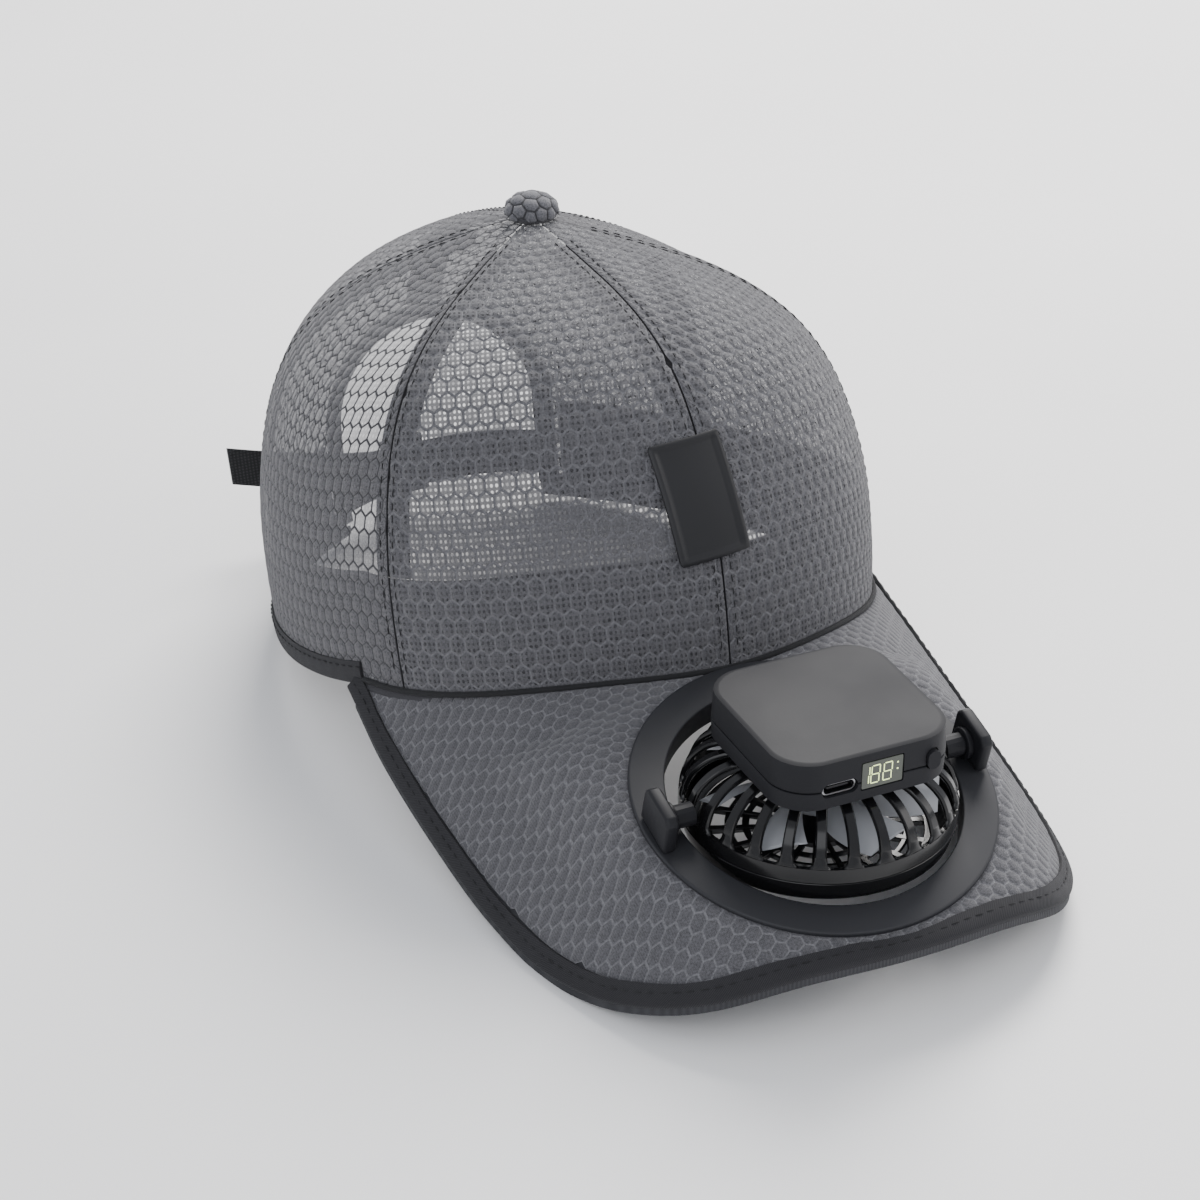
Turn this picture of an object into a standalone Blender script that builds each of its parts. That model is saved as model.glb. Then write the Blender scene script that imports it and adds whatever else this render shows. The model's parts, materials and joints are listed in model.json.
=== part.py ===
"""A six-panel cap of net cloth with a tilting fan in its peak.

Lengths are in metres. The front of the cap faces -Y and the wearer's right is -X. Inside the code the
crown's centre is over the origin of an empty named cap_frame, which is moved at the end so that the cap
rests on z = 0 with its footprint centred on the world's origin.
"""

import math
from collections import namedtuple

import bmesh
import bpy
from mathutils import Matrix, Vector

# Fits
GAP = 0.0003
SEAM_GAP = 0.0006
FACET_ROOM = 0.0004
CLOTH = 0.0012

# Crown
CROWN_HALF_WIDTH = 0.0815
CROWN_HALF_LENGTH = 0.1035
CROWN_HEIGHT = 0.1267
APEX_BACK = 0.0205
PEAK_END = 68.0
RIM_SIDE_PULL = -0.0100
RIM_BACK = 0.0060
RIM_CLEAR = 0.0002
COLUMN_ANGLE = 10.0
PANEL_COLUMNS = 7

# How far each level reaches from the middle, as a share of the rim's half width and half length, and how
# high it stands at the front, side and back, as a share of the height above the rim
Level = namedtuple("Level", "reach front side back")
CROWN_LEVELS = (
    Level(1.000, 0.000, 0.000, 0.000),
    Level(1.012, 0.200, 0.150, 0.150),
    Level(1.008, 0.400, 0.300, 0.300),
    Level(0.975, 0.600, 0.440, 0.450),
    Level(0.920, 0.760, 0.560, 0.570),
    Level(0.830, 0.875, 0.670, 0.680),
    Level(0.700, 0.945, 0.765, 0.775),
    Level(0.540, 0.980, 0.845, 0.850),
    Level(0.370, 0.992, 0.905, 0.910),
    Level(0.200, 0.998, 0.955, 0.960),
    Level(0.055, 1.000, 0.992, 0.994),
)

# Back opening and strap
ARCH_HALF_ANGLE = 24.0
ARCH_SPRING = 0.036
ARCH_TOP = 0.063
ARCH_TAPE_ANGLE = 4.4
ARCH_TAPE = 0.0060
ARCH_TAPE_THICKNESS = 0.0009
ARCH_ROOM = 0.0007
ARCH_SHARES = (0.0, 0.45, 0.75, 0.93, 1.0)
STRAP_LOW = 0.0085
STRAP_WIDTH = 0.0135
STRAP_THICKNESS = 0.0012
SLIDER_ANGLE = -173.0
SLIDER_LENGTH = 0.0140
SLIDER_BAR = 0.0022
TAIL_LENGTH = 0.0560
TAIL_RISE = 0.0145
TAIL_LIFT = 0.0080
TAIL_WIDTH = 0.0115

# Inner bands
BAND_START = 0.0034
BAND_HEIGHT = 0.0270
BAND_THICKNESS = 0.0014
SEAM_TAPE_WIDTH = 0.0120
SEAM_TAPE_THICKNESS = 0.0008
SEAM_TAPE_TOP_LEVEL = 9.0

# Button and patch
BUTTON_RADIUS = 0.0074
BUTTON_HEIGHT = 0.0062
PATCH_WIDTH = 0.0192
PATCH_HEIGHT = 0.0312
PATCH_THICKNESS = 0.0016
PATCH_ANGLE = -2.2
PATCH_CENTRE = 0.0900
PATCH_LEAN = 5.4

# Peak
PEAK_LENGTH = 0.0970
PEAK_FRONT_HEIGHT = 0.0462
PEAK_PITCH = 16.0
PEAK_ARCH = 0.0459
PEAK_ARCH_POWER = 2.65
PEAK_FALL_POWER = 1.35
PEAK_THICKNESS = 0.0020
PEAK_RIM_GAP = 0.0006
PEAK_LEVEL_LIMIT = 0.60
PEAK_CORNER_TURN = 15.0
PEAK_WING_TURN = 25.0
PEAK_WING_BOW = 0.0065
PEAK_CORNER_BAND = 0.0012
PEAK_CROWN_BAND = 0.0020
OutlinePoint = namedtuple("OutlinePoint", "side forward")
# The tape's outer edge: sideways as a share of the crown's half width, forward of the crown's front as a
# share of the peak's length
PEAK_OUTLINE = (
    OutlinePoint(0.980, -0.680),
    OutlinePoint(0.985, -0.456),
    OutlinePoint(0.970, -0.140),
    OutlinePoint(0.940, 0.182),
    OutlinePoint(0.880, 0.478),
    OutlinePoint(0.760, 0.720),
    OutlinePoint(0.570, 0.892),
    OutlinePoint(0.290, 0.975),
    OutlinePoint(0.000, 1.000),
)
OUTLINE_STEPS = 16
RIM_STEPS = 18
PEAK_RINGS = (0.35, 0.70)

# Binding tapes
TAPE_THICKNESS = 0.0008
PEAK_TAPE_LEAF = 0.0048
PEAK_TAPE_ROOM = 0.0005
RIM_TAPE_OUTER = 0.0058
RIM_TAPE_INNER = 0.0022
RIM_TAPE_START = 71.0

# Ring in the peak
RING_RADIUS = 0.0465
RING_INNER = 0.0374
RING_REAR_GAP = 0.0009
SLEEVE_WALL = 0.0014
SLEEVE_DEPTH = 0.0060
FLANGE_THICKNESS = 0.0018
FLANGE_EDGE = 0.0006
HOLE_CLEARANCE = 0.0006

# Ears and pivots
EAR_OFFSET = 0.0436
EAR_LENGTH = 0.0135
EAR_HEIGHT = 0.0105
EAR_THICKNESS = 0.0035
EAR_CHAMFER = 0.0025
PIVOT_HEIGHT = 0.0042
PIVOT_BACK = -0.0010
PIVOT_RADIUS = 0.0030
PIN_RADIUS = 0.0017
PIN_DEPTH = 0.0020

# Fan head, in its own frame: the tilt axis is X and the fan axis is Z
HEAD_PITCH = 2.0
CAGE_RADIUS = 0.0348
CAGE_TOP_RADIUS = 0.0190
CAGE_TOP = 0.0107
CAGE_BOTTOM = -0.0065
CAGE_WALL = 0.0014
CAGE_RIBS = 26
CageLevel = namedtuple("CageLevel", "out down slot")
# How far out each level lies between the top disc and the rim, how far down between the top and the
# bottom, and the slot's share of the pitch just below it
CAGE_LEVELS = (
    CageLevel(0.00, 0.00, 0.00),
    CageLevel(0.16, 0.03, 0.44),
    CageLevel(0.55, 0.15, 0.60),
    CageLevel(0.83, 0.38, 0.64),
    CageLevel(0.96, 0.65, 0.60),
    CageLevel(0.99, 0.78, 0.36),
    CageLevel(1.00, 1.00, 0.00),
)
CAGE_SLOT_LEVELS = (1, 5)
GUARD_THICKNESS = 0.0013
GUARD_RIBS = 18
GUARD_HUB_RADIUS = 0.0090
GUARD_RIM = 0.0030
GUARD_DEPTH = 0.0060
GUARD_TAPER = 0.0040
GUARD_KNEE_OUT = 0.70
GUARD_KNEE_UP = 0.25
GUARD_MIDDLE_SHARE = 0.5
MOTOR_RADIUS = 0.0090
MOTOR_HEIGHT = 0.0065
SHAFT_RADIUS = 0.0012
SHAFT_LENGTH = 0.0040
HUB_RADIUS = 0.0105
HUB_HEIGHT = 0.0062
BLADES = 7
BLADE_RADIUS = 0.0294
BLADE_THICKNESS = 0.0011
BLADE_PITCH = 38.0
BLADE_SWEEP = 20.0
BLADE_CHORD = 0.0082

# Battery box
BOX_SIZE = 0.0476
BOX_CORNER = 0.0105
BOX_FORWARD = 0.0028
BOX_HEIGHT = 0.0132
BOX_PARTING = 0.0051
BOX_EDGE = 0.0016
WINDOW_WIDTH = 0.0110
WINDOW_HEIGHT = 0.0072
WINDOW_OFFSET = 0.0020
WINDOW_CENTRE = 0.0068
WINDOW_DEPTH = 0.0012
USB_WIDTH = 0.0090
USB_HEIGHT = 0.0032
USB_OFFSET = -0.0094
USB_DEPTH = 0.0060
USB_WALL = 0.0004
BUTTON_FROM_SIDE = 0.0080
PRESS_WIDTH = 0.0034
PRESS_HEIGHT = 0.0050
PRESS_CENTRE = 0.0069
PRESS_DEPTH = 0.0022
PRESS_PROUD = 0.0006
PRESS_TRAVEL = 0.0006
CUT_OVERRUN = 0.0010

# Worked out from the sizes above
PEAK_SLOPE = math.tan(math.radians(PEAK_PITCH))
CAGE_HEIGHT = CAGE_TOP - CAGE_BOTTOM
BOX_BOTTOM = CAGE_TOP + GAP
BUTTON_OFFSET = BOX_SIZE / 2 - BUTTON_FROM_SIDE
BAND_DEPTH = CLOTH + GAP
STRAP_DEPTH = CLOTH + ARCH_ROOM + GAP + ARCH_TAPE_THICKNESS + GAP
HOLE_RADIUS = RING_INNER + SLEEVE_WALL + HOLE_CLEARANCE
RING_Y = -CROWN_HALF_LENGTH - RING_REAR_GAP - RING_RADIUS * math.cos(math.radians(PEAK_PITCH))
OUTLINE_EDGE = TAPE_THICKNESS + GAP


def clear_scene():
    for obj in list(bpy.data.objects):
        bpy.data.objects.remove(obj, do_unlink=True)


def collection(name):
    made = bpy.data.collections.new(name)
    bpy.context.scene.collection.children.link(made)
    return made


def material(name, colour, roughness, metallic=0.0):
    mat = bpy.data.materials.new(name)
    mat.use_nodes = True
    shader = mat.node_tree.nodes["Principled BSDF"]
    shader.inputs["Base Color"].default_value = (*colour, 1.0)
    shader.inputs["Roughness"].default_value = roughness
    shader.inputs["Metallic"].default_value = metallic
    return mat


def finish_object(obj, group, parent, mat, smooth=True):
    group.objects.link(obj)
    obj.parent = parent
    if mat:
        obj.data.materials.append(mat)
    if smooth:
        obj.data.shade_smooth()
        obj.data.set_sharp_from_angle(angle=math.radians(35))
    return obj


def empty(name, group, location, parent=None, pitch=0.0):
    obj = bpy.data.objects.new(name, None)
    group.objects.link(obj)
    obj.parent = parent
    obj.location = location
    obj.rotation_euler = (math.radians(pitch), 0, 0)
    return obj


def grid_mesh(name, rows, wrap=False):
    """Joins equal rows of points into one open sheet of quads."""
    mesh = bpy.data.meshes.new(name)
    count = len(rows[0])
    points = [point for row in rows for point in row]
    faces = []
    for i in range(len(rows) - 1):
        for j in range(count if wrap else count - 1):
            k = (j + 1) % count
            faces.append((i * count + j, i * count + k, (i + 1) * count + k, (i + 1) * count + j))
    mesh.from_pydata(points, [], faces)
    return mesh


def thicken(obj, thickness, outward=False):
    solid = obj.modifiers.new("thickness", "SOLIDIFY")
    solid.thickness = thickness
    solid.offset = 1.0 if outward else -1.0
    solid.use_even_offset = True


def tube_mesh(name, sections):
    """Joins equal closed sections into a tube and caps both of its ends."""
    mesh = grid_mesh(name, sections, wrap=True)
    work = bmesh.new()
    work.from_mesh(mesh)
    work.verts.ensure_lookup_table()
    count = len(sections[0])
    last = count * (len(sections) - 1)
    work.faces.new([work.verts[j] for j in range(count)])
    work.faces.new([work.verts[last + j] for j in range(count)])
    bmesh.ops.recalc_face_normals(work, faces=work.faces)
    work.to_mesh(mesh)
    work.free()
    return mesh


def turned_mesh(name, profile, steps):
    """A closed profile of (radius, height) points turned round Z."""
    mesh = bpy.data.meshes.new(name)
    work = bmesh.new()
    verts = [work.verts.new((radius, 0, height)) for radius, height in profile]
    edges = []
    for pair in zip(verts, verts[1:] + verts[:1]):
        if max(vert.co.x for vert in pair) > 1e-9:
            edges.append(work.edges.new(pair))
    bmesh.ops.spin(
        work,
        geom=verts + edges,
        cent=(0, 0, 0),
        axis=(0, 0, 1),
        angle=2 * math.pi,
        steps=steps,
        use_merge=True,
    )
    bmesh.ops.remove_doubles(work, verts=work.verts, dist=1e-6)
    loose = [face for face in work.faces if face.calc_area() < 1e-14]
    bmesh.ops.delete(work, geom=loose, context="FACES_ONLY")
    bmesh.ops.recalc_face_normals(work, faces=work.faces)
    work.to_mesh(mesh)
    work.free()
    return mesh


def box_mesh(name, size, centre):
    mesh = bpy.data.meshes.new(name)
    work = bmesh.new()
    place = Matrix.Translation(centre) @ Matrix.Diagonal((*size, 1))
    bmesh.ops.create_cube(work, size=1.0, matrix=place)
    work.to_mesh(mesh)
    work.free()
    return mesh


def cylinder_mesh(name, radius, length, centre, axis, segments=16):
    mesh = bpy.data.meshes.new(name)
    work = bmesh.new()
    turn = Vector((0, 0, 1)).rotation_difference(Vector(axis)).to_matrix().to_4x4()
    bmesh.ops.create_cone(
        work,
        cap_ends=True,
        segments=segments,
        radius1=radius,
        radius2=radius,
        depth=length,
        matrix=Matrix.Translation(centre) @ turn,
    )
    work.to_mesh(mesh)
    work.free()
    return mesh


def bevel(obj, width, segments, angle=40):
    mod = obj.modifiers.new("edges", "BEVEL")
    mod.width = width
    mod.segments = segments
    mod.limit_method = "ANGLE"
    mod.angle_limit = math.radians(angle)


def boolean(obj, other, operation, cutters):
    cutters.objects.link(other)
    other.parent = obj.parent
    other.hide_render = True
    other.display_type = "WIRE"
    mod = obj.modifiers.new("cut", "BOOLEAN")
    mod.operation = operation
    mod.solver = "EXACT"
    mod.object = other


# The crown's surface


def lerp(a, b, t):
    return a + (b - a) * t


def cubic(values, place):
    """A smooth curve through evenly numbered values, read at a fractional place."""
    last = len(values) - 1
    i = min(int(place), last - 1)
    t = place - i
    before = values[i - 1] if i else 2 * values[0] - values[1]
    after = values[i + 2] if i + 2 <= last else 2 * values[last] - values[last - 1]
    a, b = values[i], values[i + 1]
    slope_a, slope_b = (b - before) / 2, (after - a) / 2
    return (
        a * (1 + 2 * t) * (1 - t) ** 2
        + slope_a * t * (1 - t) ** 2
        + b * t * t * (3 - 2 * t)
        - slope_b * t * t * (1 - t)
    )


def peak_arch(x):
    return PEAK_ARCH * (abs(x) / CROWN_HALF_WIDTH) ** PEAK_ARCH_POWER


def ring_plane_height(y):
    return PEAK_FRONT_HEIGHT + PEAK_SLOPE * (y + CROWN_HALF_LENGTH)


def peak_height(x, y):
    """The height of the peak's arched surface, before it is flattened under the ring."""
    return ring_plane_height(y) - peak_arch(x)


def rim_plan(angle):
    a = math.radians(angle)
    return CROWN_HALF_WIDTH * math.sin(a), -CROWN_HALF_LENGTH * math.cos(a)


def rim_height(angle):
    away = abs((angle + 180.0) % 360.0 - 180.0)
    if away <= PEAK_END:
        return peak_height(*rim_plan(away)) + RIM_CLEAR
    start = peak_height(*rim_plan(PEAK_END)) + RIM_CLEAR
    s = (away - PEAK_END) / (180.0 - PEAK_END)
    return start * (1 - s) ** 2 + 2 * s * (1 - s) * RIM_SIDE_PULL + RIM_BACK * s * s


def level_share(angle, place):
    ahead = math.cos(math.radians(angle))
    side = cubic([level.side for level in CROWN_LEVELS], place)
    if ahead >= 0:
        return lerp(side, cubic([level.front for level in CROWN_LEVELS], place), ahead**1.3)
    return lerp(side, cubic([level.back for level in CROWN_LEVELS], place), -ahead)


def crown_point(angle, place):
    """The crown's outer surface at an angle from the front, in degrees, and a level number."""
    reach = cubic([level.reach for level in CROWN_LEVELS], place)
    share = level_share(angle, place)
    x, y = rim_plan(angle)
    rim = rim_height(angle)
    return Vector((x * reach, y * reach + APEX_BACK * share, lerp(rim, CROWN_HEIGHT, share)))


def crown_normal(angle, place):
    step = 0.02
    low = min(max(place, step), len(CROWN_LEVELS) - 1 - step)
    along = crown_point(angle + 1.0, low) - crown_point(angle - 1.0, low)
    up = crown_point(angle, low + step) - crown_point(angle, low - step)
    return along.cross(up).normalized()


def crown_inside(angle, place, depth):
    return crown_point(angle, place) - crown_normal(angle, place) * depth


def facet_inside(angle, place, depth):
    """A point inside the crown's flat facets, which run between whole columns and whole levels."""
    column = math.floor(angle / COLUMN_ANGLE)
    across = angle / COLUMN_ANGLE - column
    level = min(int(place), len(CROWN_LEVELS) - 2)
    low, high = [
        crown_inside(column * COLUMN_ANGLE, row, depth).lerp(
            crown_inside((column + 1) * COLUMN_ANGLE, row, depth), across
        )
        for row in (level, level + 1)
    ]
    return low.lerp(high, place - level)


def level_at(angle, height):
    """The level number at which the crown stands this high above the floor."""
    low, high = 0.0, float(len(CROWN_LEVELS) - 1)
    for _ in range(30):
        middle = (low + high) / 2
        if crown_point(angle, middle).z < height:
            low = middle
        else:
            high = middle
    return low


def degrees_across(angle, place, width):
    """The angle that spans a width along the crown at a level."""
    rate = (crown_point(angle + 0.5, place) - crown_point(angle - 0.5, place)).length
    return width / rate


def crown_sheet(name, place_rows, angle_rows, depth):
    rows = []
    for places, angles in zip(place_rows, angle_rows):
        rows.append([facet_inside(angle, place, depth) for angle, place in zip(angles, places)])
    return bpy.data.objects.new(name, grid_mesh(name, rows))


def spread(start, end, count):
    return [lerp(start, end, i / (count - 1)) for i in range(count)]


def arch_rows():
    """Level numbers up the back seam, and how many degrees the opening takes from the seam at each."""
    spring = level_at(180, ARCH_SPRING)
    rows = [(float(place), ARCH_HALF_ANGLE) for place in range(math.ceil(spring - 0.3))]
    rows.append((spring, ARCH_HALF_ANGLE))
    for share in ARCH_SHARES[1:]:
        height = lerp(ARCH_SPRING, ARCH_TOP, share)
        rows.append((level_at(180, height), ARCH_HALF_ANGLE * math.sqrt(1 - share * share)))
    return rows


def build_panels(group, frame, cloth):
    tops = [float(i) for i in range(len(CROWN_LEVELS))]
    for side, sign in (("right", -1), ("left", 1)):
        for where, first in (("front", 0.0), ("side", 60.0), ("back", 120.0)):
            levels = [(place, 0.0) for place in tops]
            if where == "back":
                arch = arch_rows()
                levels = arch + [(place, 0.0) for place in tops if place > arch[-1][0] + 0.3]
            rows = []
            for place, opening in levels:
                near = first + degrees_across(first, place, SEAM_GAP / 2)
                far = first + 60 - max(degrees_across(first + 60, place, SEAM_GAP / 2), opening)
                angles = spread(sign * near, sign * far, PANEL_COLUMNS)[::sign]
                rows.append([crown_point(angle, place) for angle in angles])
            name = f"crown_{where}_{side}"
            panel = bpy.data.objects.new(name, grid_mesh(name, rows))
            finish_object(panel, group, frame, cloth)
            thicken(panel, CLOTH)


def build_seam_tapes(group, frame, tape):
    names = {
        0.0: "seam_tape_front",
        -60.0: "seam_tape_front_right",
        60.0: "seam_tape_front_left",
        -120.0: "seam_tape_back_right",
        120.0: "seam_tape_back_left",
        180.0: "seam_tape_back",
    }
    for angle, name in names.items():
        low = rim_height(angle) + BAND_START + BAND_HEIGHT + 2 * GAP
        if angle == 180.0:
            low = ARCH_TOP + ARCH_TAPE + 2 * GAP
        places = spread(level_at(angle, low), SEAM_TAPE_TOP_LEVEL, 9)
        place_rows, angle_rows = [], []
        for place in places:
            half = degrees_across(angle, place, SEAM_TAPE_WIDTH / 2)
            angle_rows.append([angle - half, angle, angle + half])
            place_rows.append([place] * 3)
        strip = crown_sheet(name, place_rows, angle_rows, CLOTH + GAP)
        finish_object(strip, group, frame, tape)
        thicken(strip, SEAM_TAPE_THICKNESS)


def build_sweatband(group, frame, tape):
    end = 180.0 - ARCH_HALF_ANGLE - ARCH_TAPE_ANGLE - 1.0
    whole = int(end / COLUMN_ANGLE)
    angles = [column * COLUMN_ANGLE for column in range(-whole, whole + 1)]
    angles = [-end] + angles + [end]
    place_rows = []
    for share in (0.0, 0.5, 1.0):
        height = BAND_START + BAND_HEIGHT * share
        place_rows.append([level_at(angle, rim_height(angle) + height) for angle in angles])
    band = crown_sheet("sweatband", place_rows, [angles] * 3, BAND_DEPTH)
    finish_object(band, group, frame, tape)
    thicken(band, BAND_THICKNESS)


def build_arch_binding(group, frame, tape):
    foot = rim_height(180 - ARCH_HALF_ANGLE) + BAND_START
    stations = [(height, height, 1.0) for height in spread(foot, ARCH_SPRING, 4)[:3]]
    for share in ARCH_SHARES:
        outside = lerp(ARCH_SPRING, ARCH_TOP + ARCH_TAPE, share)
        inside = lerp(ARCH_SPRING, ARCH_TOP, share)
        stations.append((outside, inside, math.sqrt(1 - share * share)))
    path = [(1, station) for station in stations] + [(-1, station) for station in stations[-2::-1]]
    rows = []
    for sign, (outside, inside, fall) in path:
        row = []
        for half_angle, height in ((ARCH_HALF_ANGLE + ARCH_TAPE_ANGLE, outside), (ARCH_HALF_ANGLE, inside)):
            angle = 180.0 - sign * half_angle * fall
            row.append(crown_inside(angle, level_at(angle, height), CLOTH + ARCH_ROOM + GAP))
        rows.append(row)
    strip = bpy.data.objects.new("arch_binding", grid_mesh("arch_binding", rows))
    finish_object(strip, group, frame, tape)
    thicken(strip, ARCH_TAPE_THICKNESS)


def build_rim_bindings(group, frame, tape):
    end = 180.0 - ARCH_HALF_ANGLE
    stations = [RIM_TAPE_START, *spread(80.0, 120.0, 5), *spread(120.0, end, PANEL_COLUMNS)[1:-1], end - 0.5]
    for side, sign in (("right", -1), ("left", 1)):
        sections = []
        for away in stations:
            angle = sign * away
            edge = crown_point(angle, 0.0)
            up = (crown_point(angle, 0.3) - edge).normalized()
            out = crown_normal(angle, 0.0)
            inner = -(CLOTH + GAP)
            skin = TAPE_THICKNESS
            shape = (
                (GAP + skin, -GAP - skin),
                (GAP + skin, RIM_TAPE_OUTER),
                (GAP, RIM_TAPE_OUTER),
                (GAP, -GAP),
                (inner, -GAP),
                (inner, RIM_TAPE_INNER),
                (inner - skin, RIM_TAPE_INNER),
                (inner - skin, -GAP - skin),
            )
            sections.append([edge + out * across + up * along for across, along in shape])
        name = f"rim_binding_{side}"
        binding = bpy.data.objects.new(name, tube_mesh(name, sections))
        finish_object(binding, group, frame, tape)


def build_button(group, frame, cloth):
    base = CROWN_HEIGHT + GAP
    profile = [(0.0, base), (BUTTON_RADIUS * 0.86, base)]
    for turn in spread(0, 90, 6):
        a = math.radians(turn)
        rise = 0.25 + 0.75 * math.sin(a)
        profile.append((BUTTON_RADIUS * math.cos(a), base + BUTTON_HEIGHT * rise))
    mesh = turned_mesh("top_button", profile, 20)
    mesh.transform(Matrix.Translation((0, APEX_BACK, 0)))
    finish_object(bpy.data.objects.new("top_button", mesh), group, frame, cloth)


def patch_spot(u, v, low, high):
    """The crown's level and angle at a point across and up the leaning patch."""
    lean = math.radians(PATCH_LEAN)
    across = u * math.cos(lean) - v * math.sin(lean)
    up = u * math.sin(lean) + v * math.cos(lean)
    place = lerp(low, high, up / PATCH_HEIGHT + 0.5)
    return place, PATCH_ANGLE + degrees_across(PATCH_ANGLE, place, across)


def build_patch(group, frame, rubber):
    middle = level_at(PATCH_ANGLE, PATCH_CENTRE)
    low, high = middle, middle
    centre = crown_point(PATCH_ANGLE, middle)
    while (crown_point(PATCH_ANGLE, low) - centre).length < PATCH_HEIGHT / 2:
        low -= 0.01
    while (crown_point(PATCH_ANGLE, high) - centre).length < PATCH_HEIGHT / 2:
        high += 0.01
    place_rows, angle_rows = [], []
    for v in spread(-PATCH_HEIGHT / 2, PATCH_HEIGHT / 2, 6):
        left = patch_spot(-PATCH_WIDTH / 2, v, low, high)
        inner = patch_spot(-PATCH_WIDTH / 6, v, low, high)
        right = patch_spot(PATCH_WIDTH / 2, v, low, high)
        seam = -left[1] / (right[1] - left[1])
        place_rows.append([left[0], inner[0], lerp(left[0], right[0], seam), right[0]])
        angle_rows.append([left[1], inner[1], 0.0, right[1]])
    patch = crown_sheet("front_patch", place_rows, angle_rows, -GAP - FACET_ROOM / 2)
    finish_object(patch, group, frame, rubber)
    thicken(patch, PATCH_THICKNESS, outward=True)


# The strap across the back opening


def strap_row(angle, depth, low, width):
    return [crown_inside(angle, level_at(angle, z), depth) for z in (low, low + width)]


def build_strap(group, frame, webbing, plastic):
    end = 180.0 - ARCH_HALF_ANGLE - ARCH_TAPE_ANGLE + 0.4
    angles = [180.0 + offset for offset in spread(end - 180.0, 180.0 - end, 17)]
    rows = [strap_row(angle, STRAP_DEPTH, STRAP_LOW, STRAP_WIDTH) for angle in angles]
    strap = bpy.data.objects.new("back_strap", grid_mesh("back_strap", rows[::-1]))
    finish_object(strap, group, frame, webbing)
    thicken(strap, STRAP_THICKNESS)

    # The slider stands on the strap's outer face, and the free end runs out of it
    place = level_at(SLIDER_ANGLE, STRAP_LOW + STRAP_WIDTH / 2)
    out = crown_normal(SLIDER_ANGLE, place)
    along = Vector((0, 0, 1)).cross(out).normalized()
    up = out.cross(along)
    root = crown_inside(SLIDER_ANGLE, place, STRAP_DEPTH)
    turn = Matrix((along, up, out)).transposed().to_4x4()
    bar = SLIDER_BAR
    tall = STRAP_WIDTH + 2 * bar
    centre = root + out * (GAP * 2 + bar / 2)
    plate = box_mesh("strap_slider", (SLIDER_LENGTH, tall, bar), (0, 0, 0))
    slider = bpy.data.objects.new("strap_slider", plate)
    plate.transform(Matrix.Translation(centre) @ turn)
    finish_object(slider, group, frame, plastic, smooth=False)
    window = box_mesh("slider_window", (SLIDER_LENGTH - 2 * bar, tall - 2 * bar, 3 * bar), (0, 0, 0))
    window.transform(Matrix.Translation(centre) @ turn)
    return slider, window, centre, out, along, up


def build_tail(group, frame, webbing, centre, out, along, up):
    """The strap's free end leaves the slider and stands off the crown towards the wearer's right."""
    start = centre + out * (SLIDER_BAR / 2 + GAP)
    rows = []
    for share in spread(-0.10, 1.0, 9):
        lift = max(share - 0.1, 0.0)
        middle = start + along * (TAIL_LENGTH * share) + out * (TAIL_LIFT * lift**1.4)
        middle.z += TAIL_RISE * lift**1.3
        rows.append([middle + up * (TAIL_WIDTH / 2), middle - up * (TAIL_WIDTH / 2)])
    tail = bpy.data.objects.new("strap_tail", grid_mesh("strap_tail", rows))
    finish_object(tail, group, frame, webbing)
    thicken(tail, STRAP_THICKNESS, outward=True)


# The peak


def outline_points():
    """The tape's outer edge from the crown on the wearer's right, round the front, to the left."""
    half = [(point.side, point.forward) for point in PEAK_OUTLINE]
    whole = [(-side, forward) for side, forward in half] + half[-2::-1]
    sides = [side * CROWN_HALF_WIDTH for side, _ in whole]
    reach = [forward * PEAK_LENGTH + CROWN_HALF_LENGTH for _, forward in whole]
    last = len(whole) - 1
    count = 2 * OUTLINE_STEPS + 1
    return [
        Vector((cubic(sides, place), -cubic(reach, place), 0)) for place in spread(0, last, count)
    ]


def peak_spoke(end, turn, share):
    """A point of the peak's top between the ring's hole, at an angle round it, and the boundary."""
    flat = math.cos(math.radians(PEAK_PITCH))
    out = Vector((math.cos(turn), math.sin(turn) * flat, 0))
    hole = Vector((0, RING_Y, 0)) + out * HOLE_RADIUS
    way = Vector((end.x, end.y, 0)) - hole
    level = min((RING_RADIUS + GAP - HOLE_RADIUS) / way.length, PEAK_LEVEL_LIMIT)
    part = lerp(level, 1.0, share) if share >= 0 else 0.0
    # The spokes to the wings beside the crown bow outwards, and the surface there is the plain arch
    side = math.copysign(1.0, end.x) if abs(end.x) > 1e-6 else 0.0
    ahead = turn if side >= 0 else -math.pi - turn
    wing = max(math.cos(ahead - math.radians(PEAK_WING_TURN)), 0.0) ** 4
    bow = Vector((way.y, -way.x, 0)).normalized() * side
    place = hole + way * part + bow * (PEAK_WING_BOW * wing * 4 * part * (1 - part))
    share = max(share, 0.0)
    eased = min(2.2 * share, 1.0)
    plain = peak_arch(place.x) * eased * eased * (3 - 2 * eased)
    fall = (ring_plane_height(end.y) - end.z) * share**PEAK_FALL_POWER
    place.z = ring_plane_height(place.y) - lerp(fall, plain, wing)
    return place


def spoke_turn(point):
    """How far behind the ring's own line across the cap a point lies, as an angle at the ring's centre."""
    return math.atan2((point.y - RING_Y) / math.cos(math.radians(PEAK_PITCH)), abs(point.x))


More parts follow.
